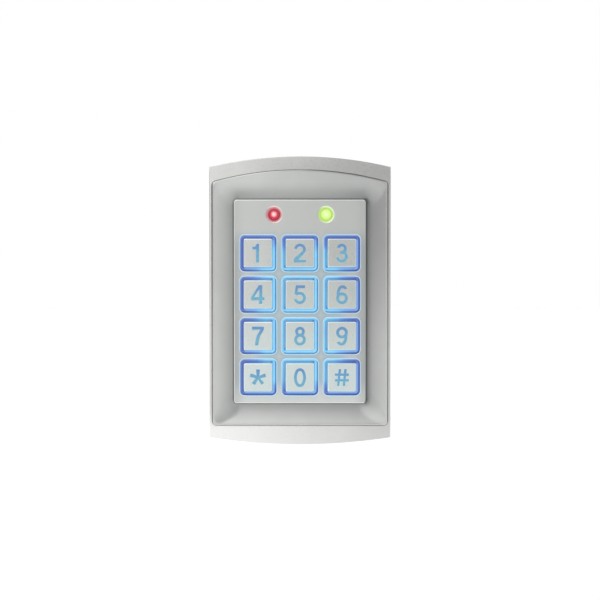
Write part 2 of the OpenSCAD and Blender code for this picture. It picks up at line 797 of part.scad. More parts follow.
module buzzer() {
    stand_up() color("#232427") translate([15, 27, z_main_back - 5]) difference() {
        cylinder(r = 4.8, h = 5);
        translate([0, 0, -cut]) cylinder(r = 0.9, h = cut + 1.2);
    }
}

module controller_chip() {
    color("#303236") rear_block([-13, 6], [10.3, 7.5, 2.4]);
}

module power_capacitor() {
    height = 5.2;
    stand_up() {
        color("#2b2d30") between(z_main_back - 0.8, z_main_back) translate([16, 8])
            square([6.6, 6.6], center = true);
        color("#c8cacc") translate([16, 8, z_main_back - height]) cylinder(r = 3.1, h = height - 0.7);
    }
}

module harness_header() {
    size = [17.5, 5.8, 5.2];
    place = [0, -38];
    pins = 8;
    pin_pitch = 2;
    stand_up() {
        color("#f1efe6") between(z_main_back - size[2], z_main_back) translate(place) difference() {
            square([size[0], size[1]], center = true);
            translate([0, 0.3]) square([size[0] - 1.6, size[1] - 2.2], center = true);
        }
        color("#f1efe6") between(z_main_back - 1, z_main_back) translate(place)
            square([size[0] - 0.8, size[1] - 0.8], center = true);
        color("#d0d2d4") for (k = [0 : pins - 1])
            translate([place[0] + (k - (pins - 1) / 2) * pin_pitch, place[1] + 0.3, z_main_back - 4.4])
                cylinder(r = 0.3, h = 4);
    }
}

// Sees light when the reader is pulled off the wall
module tamper_sensor() {
    stand_up() color("#7a2b22") translate([tamper_place[0], tamper_place[1], z_main_back - 2.2])
        cylinder(r = tamper_r, h = 2.2);
}

// ---------------------------------------------------------------- rear cover, seal and bracket

module back_cover() {
    stand_up() color("#3b3d40") difference() {
        between(z_cover_back, z_cover_front) sealed_area(rear_wall + cover_gap, cover_gap);
        at(corner_places) between(z_cover_back - cut, z_cover_front + cut)
            circle(r = cover_screw[0] + loose);
        at(corner_places) translate([0, 0, z_cover_back - 0.01])
            cylinder(r1 = cover_screw[1] + loose, r2 = cover_screw[0] + loose, h = cover_screw[2] + 0.01);
        translate([0, cable_lift]) between(z_cover_back - cut, z_cover_front + cut) circle(r = grommet_r);
        at([tamper_place]) between(z_cover_back - cut, z_cover_front + cut) circle(r = tamper_r);
        for (s = [-1, 1]) translate([s * hook_x - hook_half_w - hook_clear,
                hook_y - hook_reach - hook_clear, z_cover_back - cut])
            cube([2 * (hook_half_w + hook_clear),
                hook_reach + bracket_t + 2 * hook_clear, cover_t + 2 * cut]);
    }
}

module rear_seal() {
    inside = side_wall + 0.8;
    stand_up() color("#1b1c1e") between(z_cover_front, z_shoulder) difference() {
        sealed_area(rear_wall + cover_gap, cover_gap);
        sealed_area(inside, side_wall - rear_wall + 0.8);
    }
}

module cable_grommet() {
    stand_up() color("#17181a") translate([0, cable_lift, 0]) difference() {
        union() {
            translate([0, 0, z_cover_back - grommet_lip_t]) cylinder(r = grommet_lip_r, h = grommet_lip_t);
            translate([0, 0, z_cover_back]) cylinder(r = grommet_r, h = cover_t);
            translate([0, 0, z_cover_front]) cylinder(r = grommet_lip_r, h = grommet_lip_t);
        }
        translate([0, 0, z_cover_back - grommet_lip_t - cut])
            cylinder(r = cable_bore_d / 2, h = cover_t + 2 * grommet_lip_t + 2 * cut);
    }
}

module wall_bracket() {
    nut_t = 1.7;
    nut_r = 3.2;
    hook_z = z_cover_front + hook_clear;
    stand_up() color("#9a9c9e") difference() {
        union() {
            between(0, bracket_t) body_outline(bracket_inset);
            // lip that the locking screw pulls on, with its pressed-in nut
            translate([-lip_half_w, lip_y, 0]) cube([2 * lip_half_w, bracket_t, lip_h]);
            translate([0, lip_y + bracket_t - 0.2, lock_z]) rotate([-90, 0, 0])
                cylinder(r = nut_r, h = nut_t + 0.2, $fn = 6);
            // hooks that the reader hangs from
            for (s = [-1, 1]) translate([s * hook_x - hook_half_w, hook_y, 0]) {
                cube([2 * hook_half_w, bracket_t, hook_z + bracket_t]);
                translate([0, 0, hook_z]) cube([2 * hook_half_w, bracket_t + hook_reach, bracket_t]);
            }
        }
        translate([0, cable_lift, -cut]) between(0, bracket_t + 2 * cut)
            rounded_rect(cable_window[0], cable_window[1], 3);
        at(box_hole_places) between(-cut, bracket_t + cut) circle(r = wall_hole_d / 2);
        translate([0, lip_y - cut, lock_z]) rotate([-90, 0, 0])
            cylinder(r = lock_screw[0] + thread_gap, h = bracket_t + nut_t + 2 * cut);
    }
}

// ---------------------------------------------------------------- fasteners

module clamp_screws() {
    length = z_dish - blind_wall - tip_gap - z_flange;
    stand_up() color("#8d9092") at(clamp_places) difference() {
        pan_screw(clamp_screw, z_flange, length);
        cross_recess(clamp_screw, z_flange, 0.9);
    }
}

module board_screws() {
    length = z_ledge - blind_wall - tip_gap - z_main_back;
    stand_up() color("#8d9092") at(post_places) difference() {
        pan_screw(board_screw, z_main_back, length);
        cross_recess(board_screw, z_main_back, 0.7);
    }
}

module keypad_screws() {
    length = z_plate - blind_wall - tip_gap - z_keypad_back;
    stand_up() color("#8d9092") at(keypad_screw_places) difference() {
        pan_screw(keypad_screw, z_keypad_back, length);
        cross_recess(keypad_screw, z_keypad_back, 0.6);
    }
}

module cover_screws() {
    stand_up() color("#8d9092") at(corner_places) translate([0, 0, z_cover_back]) difference() {
        union() {
            cylinder(r1 = cover_screw[1], r2 = cover_screw[0], h = cover_screw[2]);
            cylinder(r = cover_screw[0], h = cover_t + cover_grip);
        }
        for (turn = [0, 90]) rotate([0, 0, turn])
            cube([1.4 * cover_screw[1], 0.5, 1.6], center = true);
    }
}

// Locking screw with a pin socket, driven up through the housing's foot into the bracket's lip
module security_screw() {
    length = 6.5;
    socket_r = 1.2;
    stand_up() color("#8d9092") translate([0, -body_h / 2, lock_z]) rotate([-90, 0, 0]) difference() {
        union() {
            cylinder(r = lock_screw[1], h = lock_screw[2]);
            cylinder(r = lock_screw[0], h = lock_screw[2] + length);
        }
        translate([0, 0, -cut]) difference() {
            cylinder(r = socket_r, h = cut + 1, $fn = 6);
            cylinder(r = 0.35, h = cut + 1);
        }
    }
}

front_housing();
bezel_frame();
face_plate();
light_guide();
key_mat();
keypad_board();
backlight_leds();
status_lamp_red();
status_lamp_green();
board_link();
main_board();
reader_coil();
relay();
buzzer();
controller_chip();
power_capacitor();
harness_header();
tamper_sensor();
back_cover();
rear_seal();
cable_grommet();
wall_bracket();
clamp_screws();
board_screws();
keypad_screws();
cover_screws();
security_screw();
for (i = [0 : 11]) {
    key_cap(i);
    key_core(i);
}
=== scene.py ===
"""Looks of the keypad access reader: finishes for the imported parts, and finer shapes for the pieces
that show. Laid out as an add-on and run as a script. Lengths are in metres: x runs to the right,
z up, and the face of the reader looks along -y."""
import math

import bmesh
import bpy
from bpy.props import FloatProperty, FloatVectorProperty, PointerProperty
from bpy.types import Operator, Panel, PropertyGroup
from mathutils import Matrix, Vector


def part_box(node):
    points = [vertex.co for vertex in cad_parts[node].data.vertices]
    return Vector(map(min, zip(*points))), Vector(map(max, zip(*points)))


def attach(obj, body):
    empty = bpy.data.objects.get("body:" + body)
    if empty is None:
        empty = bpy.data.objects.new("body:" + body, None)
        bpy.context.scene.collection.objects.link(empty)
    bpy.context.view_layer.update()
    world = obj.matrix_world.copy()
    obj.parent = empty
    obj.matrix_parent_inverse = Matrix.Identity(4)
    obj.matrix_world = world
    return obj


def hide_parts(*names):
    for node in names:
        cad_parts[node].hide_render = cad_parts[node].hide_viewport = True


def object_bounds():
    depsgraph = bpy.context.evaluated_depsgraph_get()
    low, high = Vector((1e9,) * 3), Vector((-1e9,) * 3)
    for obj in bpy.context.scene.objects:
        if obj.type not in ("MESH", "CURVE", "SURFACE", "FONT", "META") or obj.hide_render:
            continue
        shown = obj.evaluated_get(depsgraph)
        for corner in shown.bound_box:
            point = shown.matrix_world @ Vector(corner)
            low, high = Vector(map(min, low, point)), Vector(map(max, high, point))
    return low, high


bl_info = {
    "name": "Keypad access reader",
    "version": (1, 0, 0),
    "blender": (4, 5, 0),
    "location": "3D View > Sidebar > Reader",
    "description": "Finishes and fine shapes of a wall-mounted metal keypad reader",
    "category": "Object",
}

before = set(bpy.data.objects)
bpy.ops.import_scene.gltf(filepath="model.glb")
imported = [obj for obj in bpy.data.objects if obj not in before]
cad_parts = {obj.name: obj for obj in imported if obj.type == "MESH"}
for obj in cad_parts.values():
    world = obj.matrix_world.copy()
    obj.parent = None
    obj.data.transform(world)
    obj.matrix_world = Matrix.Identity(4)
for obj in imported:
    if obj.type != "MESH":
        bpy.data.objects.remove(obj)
CAD_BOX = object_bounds()
MM = 0.001
FIXED = "reader"
KEY_NAMES = ("1", "2", "3", "4", "5", "6", "7", "8", "9", "star", "0", "hash")
COLUMNS, ROWS = 3, 4


# ---------------------------------------------------------------- places read from the frame

def middle(node):
    """(x, z) of a part's middle, seen from the front."""
    low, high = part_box(node)
    return (low.x + high.x) / 2, (low.z + high.z) / 2


def half_size(node):
    """Half the width and half the height of a part, seen from the front."""
    low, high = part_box(node)
    return (high.x - low.x) / 2, (high.z - low.z) / 2


FIRST_COLUMN, TOP_ROW = middle("key_cap_1")
LAST_COLUMN, FOOT_ROW = middle("key_cap_hash")
PITCH_X = (LAST_COLUMN - FIRST_COLUMN) / (COLUMNS - 1)
PITCH_Z = (TOP_ROW - FOOT_ROW) / (ROWS - 1)
FIELD_MIDDLE = ((FIRST_COLUMN + LAST_COLUMN) / 2, (TOP_ROW + FOOT_ROW) / 2)
CAP_HALF = half_size("key_cap_5")[0]
RED_LAMP, GREEN_LAMP = middle("status_lamp_red"), middle("status_lamp_green")


# ---------------------------------------------------------------- sizes and colours

class ReaderSizes(PropertyGroup):
    """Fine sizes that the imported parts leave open."""

    cast_edge: FloatProperty(
        name="Cast edge", description="Radius on the housing's edges",
        default=0.3 * MM, min=0.0, unit="LENGTH")
    plate_edge: FloatProperty(
        name="Plate edge", description="Radius on the key plate's outer edge",
        default=0.5 * MM, min=0.0, unit="LENGTH")
    opening_edge: FloatProperty(
        name="Opening edge", description="Radius on the edges of the plate's openings",
        default=0.28 * MM, min=0.0, unit="LENGTH")
    opening_half: FloatProperty(
        name="Half opening", description="Half the side of a key opening",
        default=7.5 * MM, min=0.0, unit="LENGTH")
    opening_corner: FloatProperty(
        name="Opening corner", description="Corner radius of a key opening",
        default=1.9 * MM, min=0.0, unit="LENGTH")
    rim_width: FloatProperty(
        name="Rim width", description="Width of the lit rim round a key",
        default=1.1 * MM, min=0.0, unit="LENGTH")
    rim_edge: FloatProperty(
        name="Rim edge", description="Radius on the lit rims",
        default=0.48 * MM, min=0.0, unit="LENGTH")
    cap_edge: FloatProperty(
        name="Key edge", description="Radius on a key cap's edge",
        default=0.5 * MM, min=0.0, unit="LENGTH")
    sign_edge: FloatProperty(
        name="Sign edge", description="Radius on the edges of the cut numerals",
        default=0.2 * MM, min=0.0, unit="LENGTH")
    surround_rise: FloatProperty(
        name="Surround bow", description="How far the surround's head bows up",
        default=5.0 * MM, unit="LENGTH")
    surround_corner: FloatProperty(
        name="Surround corner", description="Corner radius of the surround",
        default=1.6 * MM, min=0.0, unit="LENGTH")
    plate_corner: FloatProperty(
        name="Plate corner", description="Corner radius of the opening round the key plate",
        default=1.4 * MM, min=0.0, unit="LENGTH")
    plate_gap: FloatProperty(
        name="Plate gap", description="Gap between the surround and the key plate",
        default=0.2 * MM, min=0.0, unit="LENGTH")
    dish_depth: FloatProperty(
        name="Dish depth", description="How far the dish falls from its rim to the key plate",
        default=3.2 * MM, min=0.0, unit="LENGTH")
    rim_drop: FloatProperty(
        name="Rim drop", description="How far the surround's rim rolls down outside its crest",
        default=0.45 * MM, min=0.0, unit="LENGTH")
    dish_corner: FloatProperty(
        name="Dish corner", description="How much rounder the dish's corners are half way out",
        default=5.0 * MM, min=0.0, unit="LENGTH")
    lamp_sink: FloatProperty(
        name="Lamp countersink", description="Outer radius of the countersink round a lamp",
        default=3.5 * MM, min=0.0, unit="LENGTH")


def colour(name, description, value):
    """A colour that a user would change."""
    return FloatVectorProperty(
        name=name, description=description, subtype="COLOR", size=3, min=0.0, max=1.0,
        default=value)


class ReaderColours(PropertyGroup):
    """Colours of the finishes, in linear light."""

    housing: colour("Housing", "Satin plating of the housing", (0.66, 0.665, 0.645))
    # painted highlight: the palest colour of the housing's foot, standing in for light from below
    housing_foot_highlight: colour("Housing foot", "Palest place of the housing's foot", (0.86, 0.865, 0.85))
    surround: colour("Surround", "Satin plating of the dished surround", (0.57, 0.58, 0.57))
    plate: colour("Plate", "Brushed metal of the key plate", (0.57, 0.58, 0.565))
    # painted light along the key plate's foot
    plate_foot_light: colour("Plate foot", "Key plate along its foot", (0.85, 0.90, 0.88))
    # painted highlight on the key plate's rounded lip
    plate_lip_highlight: colour("Plate lip", "Worn edge of the key plate", (0.95, 0.97, 0.96))
    cap: colour("Keys", "Satin metal of the key caps", (0.58, 0.60, 0.58))
    # painted light on the lowest row of key caps
    cap_low_light: colour("Low keys", "Key caps of the lowest row", (0.66, 0.76, 0.75))
    # painted highlight on the key caps' rounded edges
    cap_edge: colour("Key edges", "Worn edges of the key caps", (0.95, 0.96, 0.96))
    deep_glow: colour("Deep glow", "Rims furthest from the lights", (0.075, 0.115, 0.42))
    glow: colour("Glow", "Rims part of the way from the lights", (0.10, 0.27, 0.64))
    bright_glow: colour("Bright glow", "Rims next to the lights", (0.19, 0.56, 0.80))
    # painted shade on a lit rim's lower right flank
    glow_shade: colour("Glow edge", "Shaded flank of a lit rim", (0.018, 0.05, 0.20))
    # painted highlight on a lit rim's upper left flank
    glow_highlight: colour("Glow crest", "Bright flank of a lit rim", (0.42, 0.70, 0.90))
    sign: colour("Numerals", "Lit numerals", (0.13, 0.40, 0.52))
    sign_low: colour("Numeral foot", "Lit numerals away from the lights", (0.10, 0.22, 0.46))
    red: colour("Red lamp", "Body of the red lamp", (0.52, 0.008, 0.05))
    red_heart: colour("Red lamp heart", "Lit heart of the red lamp", (1.0, 0.72, 0.68))
    red_halo: colour("Red halo", "Light of the red lamp on its countersink", (0.95, 0.52, 0.52))
    green: colour("Green lamp", "Body of the green lamp", (0.46, 0.68, 0.16))
    green_heart: colour("Green lamp heart", "Lit heart of the green lamp", (0.58, 0.95, 0.46))
    green_halo: colour(
        "Green halo", "Light of the green lamp on its countersink", (0.76, 0.97, 0.42))


class ReaderStage(PropertyGroup):
    """Camera, floor and light."""

    distance: FloatProperty(
        name="Camera distance", description="From the camera to the reader's front",
        default=0.345, min=0.1, unit="LENGTH")
    elevation: FloatProperty(
        name="Camera elevation", description="How far above the reader the camera looks from",
        default=math.radians(1.0), subtype="ANGLE")
    aim_lift: FloatProperty(
        name="Aim lift", description="How far above the reader's middle the camera aims",
        default=0.4 * MM, unit="LENGTH")
    lens: FloatProperty(
        name="Lens", description="Focal length in millimetres", default=50.0, min=10.0)
    floor_drop: FloatProperty(
        name="Floor drop", description="From the foot of the reader down to the floor",
        default=0.11, min=0.0, unit="LENGTH")
    key_power: FloatProperty(
        name="Left light", description="Power of the soft light from the left, in watts",
        default=0.5, min=0.0)


def sizes():
    return bpy.context.scene.reader_sizes


def colours():
    return bpy.context.scene.reader_colours


# ---------------------------------------------------------------- making meshes

WELD = 0.002 * MM
FLAT = math.radians(0.3)
SHARP = math.radians(28)
CORNER_STEPS = 12
SIDE_STEPS = 40


def arc(centre, radius, start, end, steps):
    """Points along an arc, both ends included, counter-clockwise in degrees from the right."""
    turns = [math.radians(start + (end - start) * k / steps) for k in range(steps + 1)]
    return [(centre[0] + radius * math.cos(a), centre[1] + radius * math.sin(a)) for a in turns]


def between(p, q, steps):
    """Points on a straight line, both ends left out."""
    return [
        (p[0] + (q[0] - p[0]) * k / steps, p[1] + (q[1] - p[1]) * k / steps)
        for k in range(1, steps)
    ]


def ring(points, height):
    """A flat outline set at a height out of the wall."""
    return [Vector((x, -height, z)) for x, z in points]


def loft(bm, rings):
    """Skins closed rings of equal length, one after the other, and returns their vertices."""
    rows = [[bm.verts.new(p) for p in points] for points in rings]
    for low, high in zip(rows, rows[1:]):
        for k in range(len(low)):
            n = (k + 1) % len(low)
            bm.faces.new((low[k], low[n], high[n], high[k]))
    return rows


def welded(node):
    """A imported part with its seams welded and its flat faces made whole."""
    bm = bmesh.new()
    bm.from_mesh(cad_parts[node].data)
    bmesh.ops.remove_doubles(bm, verts=bm.verts, dist=WELD)
    bmesh.ops.dissolve_limit(bm, angle_limit=FLAT, verts=bm.verts, edges=bm.edges)
    return bm


def round_edges(bm, wanted, width, segments, clamp=False):
    """Rounds the sharp edges whose two ends wanted() picks. Clamped, none is wider than fits."""
    edges = []
    for edge in bm.edges:
        if not edge.is_manifold or edge.calc_face_angle(0.0) < SHARP:
            continue
        if wanted(edge.verts[0].co) and wanted(edge.verts[1].co):
            edges.append(edge)
    bmesh.ops.bevel(
        bm, geom=edges, offset=width, offset_type="OFFSET", segments=segments, profile=0.5,
        affect="EDGES", clamp_overlap=clamp)


def shade(mesh):
    """Smooth shading, broken at sharp edges."""
    mesh.shade_smooth()
    mesh.set_sharp_from_angle(angle=SHARP)


def weigh_normals(obj):
    """Keeps flat faces flat where a rounded edge meets them."""
    modifier = obj.modifiers.new("even_normals", "WEIGHTED_NORMAL")
    modifier.keep_sharp = True


def add_piece(name, bm, material, body, slot, *nodes):
    """Makes an object from a mesh under construction and puts it on its body."""
    bmesh.ops.recalc_face_normals(bm, faces=bm.faces)
    mesh = bpy.data.meshes.new(name)
    bm.to_mesh(mesh)
    bm.free()
    shade(mesh)
    mesh.materials.append(material)
    obj = bpy.data.objects.new(name, mesh)
    bpy.context.scene.collection.objects.link(obj)
    weigh_normals(obj)
    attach(obj, body)
    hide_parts(*nodes)
    return obj


def finish_part(node, material, edge=0.0, segments=2):
    """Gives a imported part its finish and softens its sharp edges."""
    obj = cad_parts[node]
    obj.data.materials.clear()
    obj.data.materials.append(material)
    if edge > 0:
        weld = obj.modifiers.new("weld", "WELD")
        weld.merge_threshold = WELD
        bevel = obj.modifiers.new("soft_edges", "BEVEL")
        bevel.width = edge
        bevel.segments = segments
        bevel.limit_method = "ANGLE"
        bevel.angle_limit = SHARP
        bevel.use_clamp_overlap = True
        weigh_normals(obj)


# ---------------------------------------------------------------- making finishes

class Nodes:
    """Short ways to add the nodes of a material or of the room's light."""

    def __init__(self, owner):
        owner.use_nodes = True
        self.tree = owner.node_tree
        self.tree.nodes.clear()

    def add(self, kind):
        return self.tree.nodes.new(kind)

    def put(self, socket, value):
        """Sets a socket to a number or colour, or links it."""
        if isinstance(value, bpy.types.NodeSocket):
            self.tree.links.new(value, socket)
        elif socket.type == "RGBA" and len(value) == 3:
            socket.default_value = (*value, 1.0)
        else:
            socket.default_value = value

    def work_out(self, operation, *values):
        """The result of one arithmetic step."""
        node = self.add("ShaderNodeMath")
        node.operation = operation
        for socket, value in zip(node.inputs, values):
            self.put(socket, value)
        return node.outputs[0]

    def plus(self, a, b):
        return self.work_out("ADD", a, b)

    def minus(self, a, b):
        return self.work_out("SUBTRACT", a, b)

    def times(self, a, b):
        return self.work_out("MULTIPLY", a, b)

    def absolute(self, value):
        return self.work_out("ABSOLUTE", value)

    def spread(self, value, low, high, to_low=0.0, to_high=1.0, soft=True):
        """Maps a value from one range to another, held at the ends."""
        node = self.add("ShaderNodeMapRange")
        node.interpolation_type = "SMOOTHSTEP" if soft else "LINEAR"
        node.clamp = True
        for socket, number in zip(node.inputs, (value, low, high, to_low, to_high)):
            self.put(socket, number)
        return node.outputs[0]

    def blend(self, share, a, b):
        """Mixes two colours."""
        node = self.add("ShaderNodeMix")
        node.data_type = "RGBA"
        self.put(node.inputs[0], share)
        self.put(node.inputs[6], a)
        self.put(node.inputs[7], b)
        return node.outputs[2]


class Finish(Nodes):
    """A material, its shader, and what varies it over the surface."""

    def __init__(self, name, **values):
        self.material = bpy.data.materials.new(name)
        super().__init__(self.material)
        self.shader = self.add("ShaderNodeBsdfPrincipled")
        output = self.add("ShaderNodeOutputMaterial")
        self.tree.links.new(self.shader.outputs[0], output.inputs[0])
        self.place = self.add("ShaderNodeTexCoord").outputs["Object"]
        self.facing = self.place.node.outputs["Normal"]
        split = self.add("ShaderNodeSeparateXYZ")
        self.tree.links.new(self.place, split.inputs[0])
        self.x, self.y, self.z = split.outputs
        for socket, value in values.items():
            self.put(self.shader.inputs[socket.replace("_", " ")], value)

    def vary(self, **values):
        for socket, value in values.items():
            self.put(self.shader.inputs[socket.replace("_", " ")], value)
        return self

    def noise(self, size, detail=2.0, stretch=(1.0, 1.0, 1.0)):
        """Noise whose grain is about this long, drawn out along an axis by a stretch under 1."""
        scale = self.add("ShaderNodeVectorMath")
        scale.operation = "MULTIPLY"
        self.put(scale.inputs[0], self.place)
        scale.inputs[1].default_value = tuple(s / size for s in stretch)
        node = self.add("ShaderNodeTexNoise")
        node.inputs["Scale"].default_value = 1.0
        node.inputs["Detail"].default_value = detail
        self.put(node.inputs["Vector"], scale.outputs[0])
        return node.outputs[0]

    def bump(self, height, depth, strength=1.0):
        node = self.add("ShaderNodeBump")
        node.inputs["Strength"].default_value = strength
        node.inputs["Distance"].default_value = depth
        self.put(node.inputs["Height"], height)
        self.put(self.shader.inputs["Normal"], node.outputs[0])
        return self

    def grain(self, noise, low, high):
        """Spreads a noise's grain from a low to a high value."""
        return self.spread(noise, 0.25, 0.75, low, high)

    def clouds(self, noise, low=0.0, high=1.0):
        """Spreads a noise's soft patches from a low to a high value."""
        return self.spread(noise, 0.3, 0.7, low, high)

    def offset(self, value, first, pitch, count):
        """Offset from the nearest of count places that stand a pitch apart from the first on."""
        start = self.minus(value, first)
        steps = self.work_out("ROUND", self.work_out("DIVIDE", start, pitch))
        steps = self.work_out("MINIMUM", self.work_out("MAXIMUM", steps, 0.0), count - 1.0)
        return self.minus(start, self.times(steps, pitch))

    def leans(self, direction):
        """How much the surface leans toward a direction, from -1 to 1."""
        node = self.add("ShaderNodeVectorMath")
        node.operation = "DOT_PRODUCT"
        self.put(node.inputs[0], self.facing)
        node.inputs[1].default_value = Vector(direction).normalized()
        return node.outputs["Value"]

    def rounded_edge(self):
        """0 on the flat front of a piece, 1 where its edge has turned away."""
        return self.spread(self.leans(FRONT), 0.985, 0.90)

    def key_offsets(self):
        """How far right of and above the middle of the nearest key."""
        return (
            self.offset(self.x, FIRST_COLUMN, PITCH_X, COLUMNS),
            self.offset(self.z, FOOT_ROW, PITCH_Z, ROWS))

    def from_key(self):
        """Distance outside the nearest key's opening, negative inside it."""
        right, up = self.key_offsets()
        half = sizes().opening_half
        return self.from_square(
            self.absolute(right), self.absolute(up), half, half, sizes().opening_corner)

    def from_plate(self):
        """Distance outside the key plate's outline, negative inside it."""
        up = self.absolute(self.minus(self.z, (PLATE_HEAD + PLATE_FOOT) / 2))
        return self.from_square(
            self.absolute(self.x), up, PLATE_RIGHT, (PLATE_HEAD - PLATE_FOOT) / 2,
            sizes().plate_corner)

    def from_square(self, x, z, half_x, half_z, corner):
        """Distance outside a rounded rectangle, from the distances to its middle."""
        across = self.minus(x, half_x - corner)
        up = self.minus(z, half_z - corner)
        out_x, out_z = self.work_out("MAXIMUM", across, 0.0), self.work_out("MAXIMUM", up, 0.0)
        inside = self.work_out("MINIMUM", self.work_out("MAXIMUM", across, up), 0.0)
        return self.minus(self.plus(self.length(out_x, out_z), inside), corner)

    def length(self, x, z):
        return self.work_out("SQRT", self.plus(self.times(x, x), self.times(z, z)))

    def from_middle(self, place):
        """Distance from a point of the face."""
        return self.length(self.minus(self.x, place[0]), self.minus(self.z, place[1]))

    def lit_share(self):
        """How much of the key lights' glow reaches a place: least at the edges of the key field."""
        half_x = PITCH_X + sizes().opening_half
        half_z = 1.5 * PITCH_Z + sizes().opening_half
        dx = self.absolute(self.minus(self.x, FIELD_MIDDLE[0]))
        dz = self.absolute(self.minus(self.z, FIELD_MIDDLE[1]))
        least = 0.12
        return self.times(
            self.spread(dx, half_x - 1.0 * MM, half_x - 13.0 * MM),
            self.spread(dz, half_z - 0.6 * MM, half_z - 8.0 * MM, least, 1.0))


FRONT, RIGHT = (0.0, -1.0, 0.0), (1.0, 0.0, 0.0)
DOWN, LOWER_RIGHT = (0.0, 0.0, -1.0), (1.0, 0.0, -1.0)
BLACK = (0.0, 0.0, 0.0)
EVEN, LENGTHWISE, NEARLY_LENGTHWISE = (1.0, 1.0, 1.0), (1.0, 1.0, 0.05), (1.0, 1.0, 0.08)


def darker(tint, share):
    """A colour that keeps only a share of its light."""
    return tuple(share * c for c in tint)


def satin(name, tint, roughness, grain=0.25 * MM, stretch=EVEN):
    """Plated metal with a fine grain and a faint cloudiness. Returns the finish and its colour."""
    finish = Finish(name, Metallic=1.0)
    texture = finish.noise(grain, 2.0, stretch)
    clouds = finish.spread(finish.noise(14 * MM), 0.35, 0.65)
    base = finish.blend(clouds, darker(tint, 0.95), tint)
    finish.vary(
        Base_Color=base, Roughness=finish.grain(texture, roughness - 0.04, roughness + 0.05))
    finish.bump(texture, 0.001 * MM, 0.4)
    return finish, base


def housing_finish():
    """Satin plating; painted shade to the right, painted highlight along the foot toward the left."""
    finish, base = satin("satin_housing", colours().housing, 0.30)
    low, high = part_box("front_housing")
    # painted shade: the housing greys toward the right, away from the light on the left
    most_right_shade = 0.12
    grey = finish.spread(
        finish.x, FIRST_COLUMN - PITCH_X, FIELD_MIDDLE[0] + 10 * MM, 0.0, most_right_shade)
    # painted highlight: the foot pales toward the left, where the light falls
    at_foot = finish.spread(finish.z, PLATE_FOOT - 2 * MM, low.z + 6 * MM)
    to_left = finish.spread(finish.x, high.x, low.x, soft=False)
    finish.vary(Base_Color=finish.blend(
        finish.times(at_foot, to_left), finish.blend(grey, base, BLACK), colours().housing_foot_highlight))
    return finish.material


def surround_finish():
    """Satin plating with painted shade down the dish toward the key plate, and up toward its right.
    """
    tint = colours().surround
    finish, base = satin("satin_surround", tint, 0.32)
    out = finish.from_plate()
    slope_light, joint_light, under_shade, right_shade = 0.68, 0.26, 0.35, 0.24
    # painted shade deepening down the dish toward the key plate, and on its slopes that face down
    slope = finish.blend(
        finish.spread(out, 0.5 * MM, 7.5 * MM, soft=False), darker(tint, slope_light), base)
    faces_down = finish.spread(finish.leans(DOWN), 0.15, 0.45)
    under = finish.times(faces_down, finish.spread(out, 6.0 * MM, 1.5 * MM, 0.0, under_shade))
    slope = finish.blend(under, slope, BLACK)
    # painted shade in the joint beside the key plate
    joint = finish.spread(out, 0.2 * MM, 1.3 * MM)
    # painted shade toward the surround's upper right
    upper_right = finish.times(
        finish.spread(finish.x, FIRST_COLUMN, LAST_COLUMN + PITCH_X, soft=False),
        finish.spread(finish.z, FOOT_ROW, PLATE_HEAD, 0.0, right_shade))
    finish.vary(Base_Color=finish.blend(
        upper_right, finish.blend(joint, darker(tint, joint_light), slope), BLACK))
    return finish.material


def plate_base(finish, glow_wash):
    """Bare plate colour with painted light: key glow, side shade, a pale foot, a lit and shaded lip.
    """
    tint = colours().plate
    # painted glow: the plate turns blue near the lit key rims
    cool = tuple(c * k for c, k in zip(tint, (0.62, 0.82, 0.94)))
    base = finish.blend(glow_wash, tint, cool)
    # painted shade toward the plate's left and right edges, lighter near its head
    head_shade, side_shade, foot_light_share = 0.08, 0.28, 0.22
    sides = finish.times(
        finish.spread(finish.absolute(finish.x), 22.0 * MM, 28.0 * MM),
        finish.spread(finish.z, TOP_ROW + 12 * MM, TOP_ROW, head_shade, side_shade))
    base = finish.blend(sides, base, BLACK)
    # painted light: the plate pales along its foot
    foot = finish.spread(finish.z, FOOT_ROW, PLATE_FOOT + 2 * MM, 0.0, foot_light_share)
    base = finish.blend(foot, base, colours().plate_foot_light)
    # painted highlight on the rounded lip, with painted shade where it faces right
    shaded_lip = (0.34, 0.35, 0.36)
    to_right = finish.spread(finish.leans(RIGHT), 0.1, 0.4)
    lip = finish.blend(to_right, colours().plate_lip_highlight, shaded_lip)
    return finish.blend(finish.rounded_edge(), base, lip)


def plate_finish():
    """Brushed metal with painted light: key glow, halos at the openings, lamp light in the sinks."""
    finish = Finish("brushed_plate", Metallic=1.0, Emission_Strength=1.0)
    brush = finish.noise(0.18 * MM, 2.0, LENGTHWISE)
    out = finish.from_key()
    least_lit, halo_share, lamp_share = 0.35, 0.8, 0.45
    lit = finish.spread(finish.lit_share(), 0.0, 1.0, least_lit, 1.0)
    # painted glow from the lit key rims spread over the plate, and given off by the plate as emission
    glow_wash = finish.times(finish.spread(out, 3.0 * MM, 0.0), lit)
    # painted highlight: a pale halo at each key opening's edge
    halo = finish.spread(out, 0.6 * MM, 0.2 * MM, 0.0, halo_share)
    base = finish.blend(halo, plate_base(finish, glow_wash), (0.72, 0.80, 0.85))
    glow = finish.blend(glow_wash, BLACK, (0.0, 0.025, 0.045))
    glow = finish.blend(finish.times(halo, lit), glow, (0.02, 0.09, 0.15))
    sink = sizes().lamp_sink
    # painted light of each lamp in its countersink
    for place, light in ((RED_LAMP, colours().red_halo), (GREEN_LAMP, colours().green_halo)):
        share = finish.spread(finish.from_middle(place), sink + 0.2 * MM, sink - 0.7 * MM)
        base = finish.blend(share, base, darker(light, lamp_share))
        glow = finish.blend(share, glow, darker(light, lamp_share))
    finish.vary(Base_Color=base, Emission_Color=glow, Roughness=finish.grain(brush, 0.30, 0.44))
    finish.bump(brush, 0.0025 * MM, 0.5)
    return finish.material


